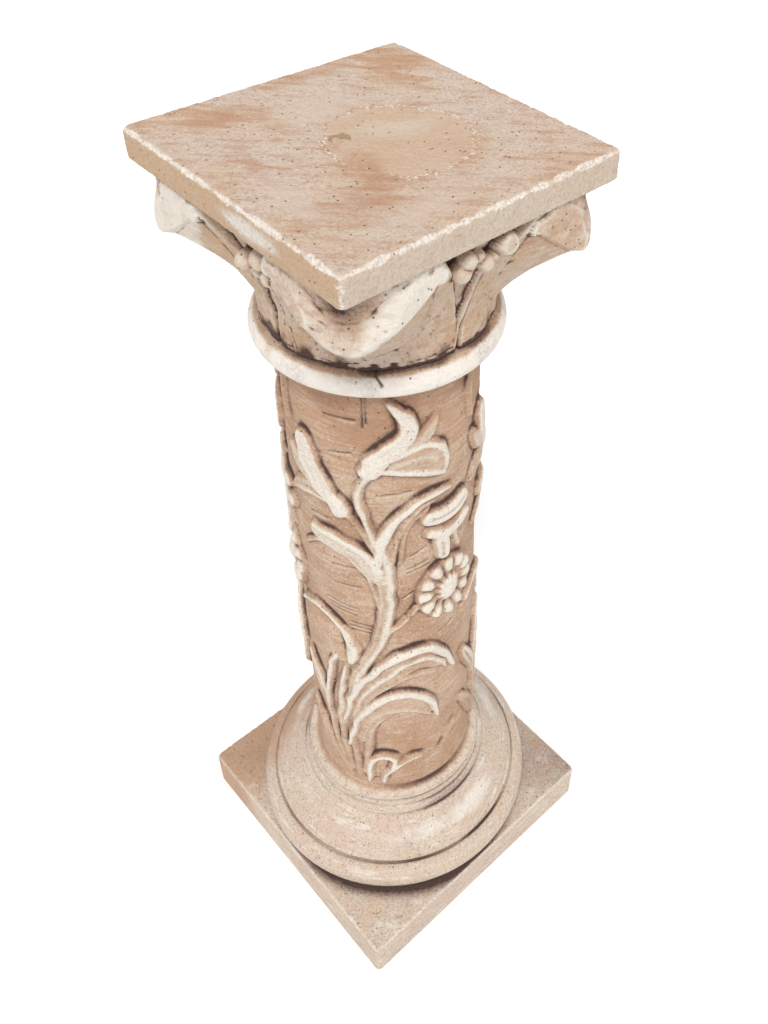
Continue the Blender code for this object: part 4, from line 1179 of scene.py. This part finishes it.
class PEDESTAL_OT_capital(bpy.types.Operator):
    """Make the capital: bell, corner leaves, fleurons and slab"""

    bl_idname = "pedestal.capital"
    bl_label = "Capital"

    def execute(self, context):
        """Build the grid column by column, each with its own outline, from the slab down."""
        angles = around(ROUND_COLUMNS)
        rows = self.slab_rows(angles) + self.leaf_rows(angles)
        rows += [(60, CAPITAL_BOTTOM), (20, CAPITAL_BOTTOM)]
        radius, height = grid(rows, ROUND_COLUMNS)
        points = turned_points(angles, radius, height)
        piece = grid_mesh("capital_casting", points, self.layers(points, radius, height))
        colours = context.scene.pedestal_colours
        rust = [(f"rust {place}", "streaks", 2.2, 0.25, 1.6, strength, colours.rust)
                for place, strength in (("left", 0.75), ("far", 0.6), ("edge", 0.65), ("front", 0.75))]
        pink = [(f"pink {place}", "streaks", 1.2, 0.2, 1.4, 0.7, colours.rose)
                for place in ("left", "right", "near")]
        material = stone_material("stained_cast_stone_capital", colours.rose, colours.pale_tan, (
            ("streaks", "mottle", 0.5, 0.48, 0.68, 0.6, colours.tan),
            ("streaks", "specks", 0.5, 0.46, 0.3, 0.6, colours.cream),
            ("clouds", "streaks", 1.0, 0.5, 0.72, 0.45, colours.rust),
            *rust,
            *pink,
            ("pot outside", "mottle", 1.0, 0.35, 0.9, 0.35, colours.rust),
            ("pot inside", "specks", 0.3, 0.42, 0.62, 0.6, colours.pale_tan),
            ("pot inside edge", "mottle", 2.0, 0.4, 1.3, 0.7, colours.rust),
            ("pot inside edge", "specks", 2.4, 0.9, 1.3, 0.8, colours.ivory),
            ("pot light", "mottle", 0.9, 0.2, 1.2, 0.6, colours.cream),
            ("rust foot", "mottle", 2.2, 0.25, 1.5, 0.75, colours.rust),
            ("rust near", "streaks", 2.2, 0.25, 1.6, 0.75, colours.rust),
            ("olive", "specks", 0.2, 0.45, 0.6, 0.9, linear("#a58c69")),
            # Ochre and cream on the slab's sides are partly painted light and shade, and ivory on the
            # leaves' tips is painted highlight
            ("brown", "streaks", 1.0, 0.3, 1.0, 0.85, colours.ochre),
            ("raised", "mottle", 0.9, 0.2, 0.95, 0.85, colours.cream),
            ("white", "mottle", 1.0, 0.25, 1.1, 0.8, colours.ivory),
            # Umber and the darkest colour in the hollows are painted shade, with dark patina in patches
            ("hollow", "specks", 1.0, 0.2, 1.0, 0.85, colours.umber),
            ("hollow", "grit", 0.4, 0.78, 1.0, 0.8, colours.deep_shade_and_dirt),
            ("arris", "grit", 2.2, 0.35, 1.3, 0.85, colours.white),
        ), 0.5, SLAB_SPOTS, (34, 8, 8), math.radians(45))
        finish_casting(piece, "capital", material, CAPITAL_TRIANGLES, **CAPITAL_CHIPS)
        return {"FINISHED"}

    def slab_rows(self, angles):
        """Rows of the slab: top from the middle out, worn arris, side and underside."""
        edge = SLAB_SIDE / 2
        rows = []
        top_rows, side_rows = 84, 16
        for step in range(1, top_rows + 1):
            share = (step / top_rows) ** 0.85
            rows.append((square(angles, (edge - SLAB_ARRIS) * share, SLAB_CORNER * share), SLAB_TOP))
        rows += rounded_edge(angles, edge, SLAB_CORNER, SLAB_TOP, SLAB_ARRIS, 6)
        for step in range(1, side_rows + 1):
            height = SLAB_TOP - SLAB_ARRIS - (SLAB_THICKNESS - SLAB_ARRIS - 1) * step / side_rows
            rows.append((square(angles, edge, SLAB_CORNER), height))
        rows.append((square(angles, edge - 1, SLAB_CORNER), SLAB_BOTTOM))
        return rows

    def leaf_rows(self, angles):
        """Rows from the slab's edge inwards, down the leaf's tip, under its rim and down the bell."""
        from_corner, nose, fall = corner_shape(angles)
        flap = smoothstep((TIP_SPREAD + 1 - from_corner) / 2)
        rim = SLAB_BOTTOM - fall
        limit = (SLAB_SIDE / 2 - EDGE_MARGIN) / np.cos(np.radians(45 - from_corner))
        slab = square(angles, SLAB_SIDE / 2 - 1, SLAB_CORNER)
        tip_rows, under_rows, body_rows = 56, 14, 96
        ones = np.ones(len(angles))
        left_half = smoothstep((45 - angles % 90) / 4)
        right_half = (1 - left_half) * smoothstep((from_corner - 5) / 6)
        tip = []
        for step in range(tip_rows + 1):
            share = step / tip_rows
            height = SLAB_BOTTOM + (rim + TIP_HOOK * flap - SLAB_BOTTOM) * share
            bare = bell_surface(angles, height)
            above = height - rim
            fold_share = 0.6 + 0.8 * lattice_noise(angles, height * ones, 12, 33, 120)
            folds = np.cos(math.pi * above / FOLD_SPACING) ** 8 * smoothstep(above / 4)
            folds = folds * smoothstep(share * 3)
            face = nose - TIP_LEAN * smoothstep(1 - share) - FOLD_DEPTH * folds * left_half * fold_share
            face = face + RIM_ROLL * np.exp(-((above - 6) / 4) ** 2) * right_half
            turned_in = np.clip(1 - above / RIM_ROUNDING, 0, 1)
            face = face - RIM_ROUNDING * (1 - np.sqrt(1 - turned_in ** 2)) * 0.8
            face = face + FACE_WAVES * lattice_noise(angles, height * ones, 15, 35, 120)
            radius = bare + (np.maximum(face, bare) - bare) * flap
            tip.append((np.minimum(self.lumps(angles, radius, height), limit), height))
        inset = 10
        rows = [(slab + (tip[0][0] - slab) * step / inset, SLAB_BOTTOM) for step in range(1, inset + 1)]
        rows += tip[1:]
        outer = tip[-1][0]
        inner = np.minimum(self.lumps(angles, bell_surface(angles, rim), rim), limit)
        for step in range(1, under_rows + 1):
            share = step / under_rows
            droop = TIP_HOOK * flap * (1 - math.sin(math.pi / 2 * min(1, share * 2.5)))
            rows.append((outer + (inner - outer) * smoothstep(share), rim + droop - RIM_UNDERCUT * share))
        start = rim - RIM_UNDERCUT
        for step in range(1, body_rows + 1):
            height = start + (CAPITAL_BOTTOM - start) * step / body_rows
            radius = np.minimum(self.lumps(angles, bell_surface(angles, height), height), limit)
            rows.append((radius, height))
        return rows

    def lumps(self, angles, radius, height):
        """Set the fleurons, the curls and the broken foot of the bell on a row of radii."""
        radius = fleurons(angles, radius, height)
        height = height * np.ones(len(angles))
        bare = np.minimum(height, SLAB_BOTTOM)
        radius = radius + BELL_WAVES * lattice_noise(angles, bare, 9, 31, 100)
        radius = radius + BELL_KNOBS * lattice_noise(angles, bare, 4.5, 34, 100)
        front = 0.35 + 0.65 * band(apart(angles, BELL_FRONT), 0, 14)
        broken = lattice_noise(angles, 3 * height, 8, 32, 100)
        foot = smoothstep((CAPITAL_BOTTOM + BROKEN_HEIGHT - height) / 4)
        return radius - foot * front * BROKEN_DEPTH * np.clip(0.4 + broken, 0, 1)

    def layers(self, points, radius, height):
        """Where the capital is worn, stained, darkened by painted shade and lit by painted highlights."""
        x, y = points[..., 0], points[..., 1]
        depth, crease = hollows(points, 10), hollows(points, 4)
        reach, corner = np.abs(points[..., :2]).max(-1), np.abs(points[..., :2]).min(-1)
        edge = SLAB_SIDE / 2
        in_slab = height > SLAB_BOTTOM - 0.5
        below = ~in_slab
        angle = np.degrees(np.arctan2(y, x)) % 360
        patches = patchwork(angle, height, 14, 41, 100)
        ragged = 1.6 * lattice_noise(angle, height, 6, 42, 120)
        # The slab's arrises and corners are worn to bare stone along a ragged line
        near_edge = smoothstep((reach - edge + 3.6 + ragged) / 2)
        arris = near_edge * smoothstep((height - SLAB_TOP + 3.8 + ragged) / 1.6) * in_slab
        arris += 0.8 * smoothstep((corner - edge + 5 + ragged) / 3) * in_slab
        arris += near_edge * smoothstep(1 - (height - SLAB_BOTTOM) / 2.5) * in_slab * 0.35
        # The slab's left side is yellowish with a torn pale patch, its right side is cream, partly the
        # stone's colour and partly painted light and shade of the two sides
        side = in_slab & (reach > edge - 2) & (height < SLAB_TOP - 2)
        left_side = (-y >= reach - 1) & side
        back_side = (x < edge - 3) & side & ~left_side
        from_torn = np.hypot((x - TORN_PLACE[0]) / TORN_REACH[0], (height - TORN_PLACE[1]) / TORN_REACH[1])
        torn = smoothstep(1.4 - 1.2 * from_torn) * left_side
        ochre = (0.95 * left_side + 0.7 * back_side) * (1 - torn)
        cream = 0.8 * (side & (x >= reach - 1)) + 0.9 * torn
        # Painted shade lies in every crease, at the bell's foot, under the slab and in the leaves'
        # hollows, mixed with dark patina in patches; the joint at the bell's foot is dark
        from_corner, _, fall = corner_shape(angle)
        # Painted shade on the leaves' tips under the slab's corners
        top = smoothstep((height - SLAB_BOTTOM + 0.62 * fall) / 16) * smoothstep(1.2 - from_corner / 11)
        hollow = (0.6 * np.clip(depth / 0.6, 0, 1) + 0.7 * np.clip(crease / 0.18, 0, 1)) * below
        hollow += smoothstep(1 - (height - CAPITAL_BOTTOM) / 20) * below * (0.1 + 1.6 * patches ** 2)
        hollow += (height < CAPITAL_BOTTOM + 2.2) * 0.9
        # Painted shade just under the slab
        hollow += smoothstep(1 - (SLAB_BOTTOM - height) / 12) * below * 0.45
        hollow += top * below * (0.15 + 1.1 * patches ** 2) + 0.34 * side
        # The leaves' turned-down tips get a painted ivory highlight, their right halves most
        raised = np.clip(-depth / 0.5, 0, 1) * below
        flap = smoothstep((radius - 108) / 10) * below * (1 - top)
        right_half = smoothstep((angle % 90 - 45) / 6)
        panel = below * (1 - flap) * (0.35 + 0.4 * patches)
        return {"arris": np.clip(arris, 0, 1), "hollow": np.clip(hollow, 0, 1),
                "raised": np.clip(0.6 * raised + 0.3 * flap + cream, 0, 1), "brown": ochre + panel,
                "white": flap * (0.35 + 0.6 * right_half) + 0.5 * raised + 0.9 * torn}


# Stage

class PEDESTAL_OT_stage(bpy.types.Operator):
    """Make the pale floor, the soft lights and the camera"""

    bl_idname = "pedestal.stage"
    bl_label = "Stage"

    def execute(self, context):
        """Place floor, lights, sky and camera."""
        self.floor()
        self.sun(context)
        self.sky(context)
        self.camera(context)
        context.scene.view_settings.view_transform = "Standard"
        return {"FINISHED"}

    def floor(self):
        """Plain white paper floor, wide enough to fill every view."""
        mesh = bpy.data.meshes.new("floor")
        corners = [(FLOOR_REACH * x, FLOOR_REACH * y, 0) for x, y in ((-1, -1), (1, -1), (1, 1), (-1, 1))]
        mesh.from_pydata(corners, [], [(0, 1, 2, 3)])
        floor = bpy.data.objects.new("floor", mesh)
        bpy.context.scene.collection.objects.link(floor)
        material = bpy.data.materials.new("white_paper")
        material.use_nodes = True
        tree = material.node_tree
        tree.nodes.clear()
        lay(tree, (
            ("shader", "ShaderNodeBsdfPrincipled",
             {"Base Color": (*linear(FLOOR_COLOUR), 1), "Roughness": 0.9}, {}),
            ("result", "ShaderNodeOutputMaterial", {0: "shader"}, {}),
        ))
        mesh.materials.append(material)

    def sun(self, context):
        """Soft key light, as from a large window above and behind the viewer."""
        lamp = bpy.data.lights.new("key", "SUN")
        lamp.angle = math.radians(SUN_WIDTH)
        lamp.energy = SUN_STRENGTH
        lamp.color = linear(SUN_COLOUR)
        thing = bpy.data.objects.new("key", lamp)
        thing.rotation_euler = (-Vector(SUN_PLACE)).to_track_quat("-Z", "Y").to_euler()
        context.scene.collection.objects.link(thing)

    def sky(self, context):
        """Even white surroundings."""
        world = bpy.data.worlds.new("studio")
        world.use_nodes = True
        tree = world.node_tree
        tree.nodes.clear()
        lay(tree, (
            ("sky", "ShaderNodeBackground", {"Color": (1, 1, 1, 1), "Strength": SKY_STRENGTH}, {}),
            ("result", "ShaderNodeOutputWorld", {0: "sky"}, {}),
        ))
        context.scene.world = world

    def camera(self, context):
        """Camera at the viewing angle of the picture."""
        yaw, pitch, roll = CAMERA_YAW, CAMERA_PITCH, CAMERA_ROLL
        forward = Vector((math.sin(yaw) * math.cos(pitch), math.cos(yaw) * math.cos(pitch),
                          -math.sin(pitch)))
        level = Vector((math.cos(yaw), -math.sin(yaw), 0))
        upright = level.cross(forward)
        right = math.cos(roll) * level + math.sin(roll) * upright
        up = -math.sin(roll) * level + math.cos(roll) * upright
        axes = Matrix((right, up, -forward)).transposed().to_4x4()
        place = Matrix.Translation(Vector(CAMERA_PLACE) * COLUMN_HEIGHT)
        lens = bpy.data.cameras.new("camera")
        lens.sensor_width = SENSOR
        lens.lens = FOCAL_PIXELS / PICTURE_HEIGHT * SENSOR
        lens.shift_x = SHIFT_PIXELS[0] / PICTURE_HEIGHT
        lens.shift_y = SHIFT_PIXELS[1] / PICTURE_HEIGHT
        camera = bpy.data.objects.new("camera", lens)
        camera.matrix_world = Matrix.Rotation(CAMERA_TURN, 4, "Z") @ place @ axes
        context.scene.collection.objects.link(camera)
        context.scene.camera = camera


class PEDESTAL_PT_panel(bpy.types.Panel):
    """Sizes, colours and pieces of the pedestal column"""

    bl_idname = "PEDESTAL_PT_panel"
    bl_label = "Pedestal column"
    bl_space_type = "VIEW_3D"
    bl_region_type = "UI"
    bl_category = "Pedestal"

    def draw(self, context):
        """List the properties and the operators."""
        for group in (context.scene.pedestal_sizes, context.scene.pedestal_colours):
            box = self.layout.box()
            for name in group.__annotations__:
                box.prop(group, name)
        for operator in OPERATORS:
            self.layout.operator(operator.bl_idname)


OPERATORS = (PEDESTAL_OT_base, PEDESTAL_OT_shaft, PEDESTAL_OT_capital, PEDESTAL_OT_stage)
CLASSES = (PedestalSizes, PedestalColours, *OPERATORS, PEDESTAL_PT_panel)


def register():
    """Register the classes and hang the properties on the scene."""
    for kind in CLASSES:
        bpy.utils.register_class(kind)
    bpy.types.Scene.pedestal_sizes = PointerProperty(type=PedestalSizes)
    bpy.types.Scene.pedestal_colours = PointerProperty(type=PedestalColours)


def unregister():
    """Undo what register did."""
    del bpy.types.Scene.pedestal_colours
    del bpy.types.Scene.pedestal_sizes
    for kind in reversed(CLASSES):
        bpy.utils.unregister_class(kind)


def main():
    """Make every piece."""
    register()
    bpy.ops.pedestal.base()
    bpy.ops.pedestal.shaft()
    bpy.ops.pedestal.capital()
    bpy.ops.pedestal.stage()


if __name__ == "__main__":
    main()
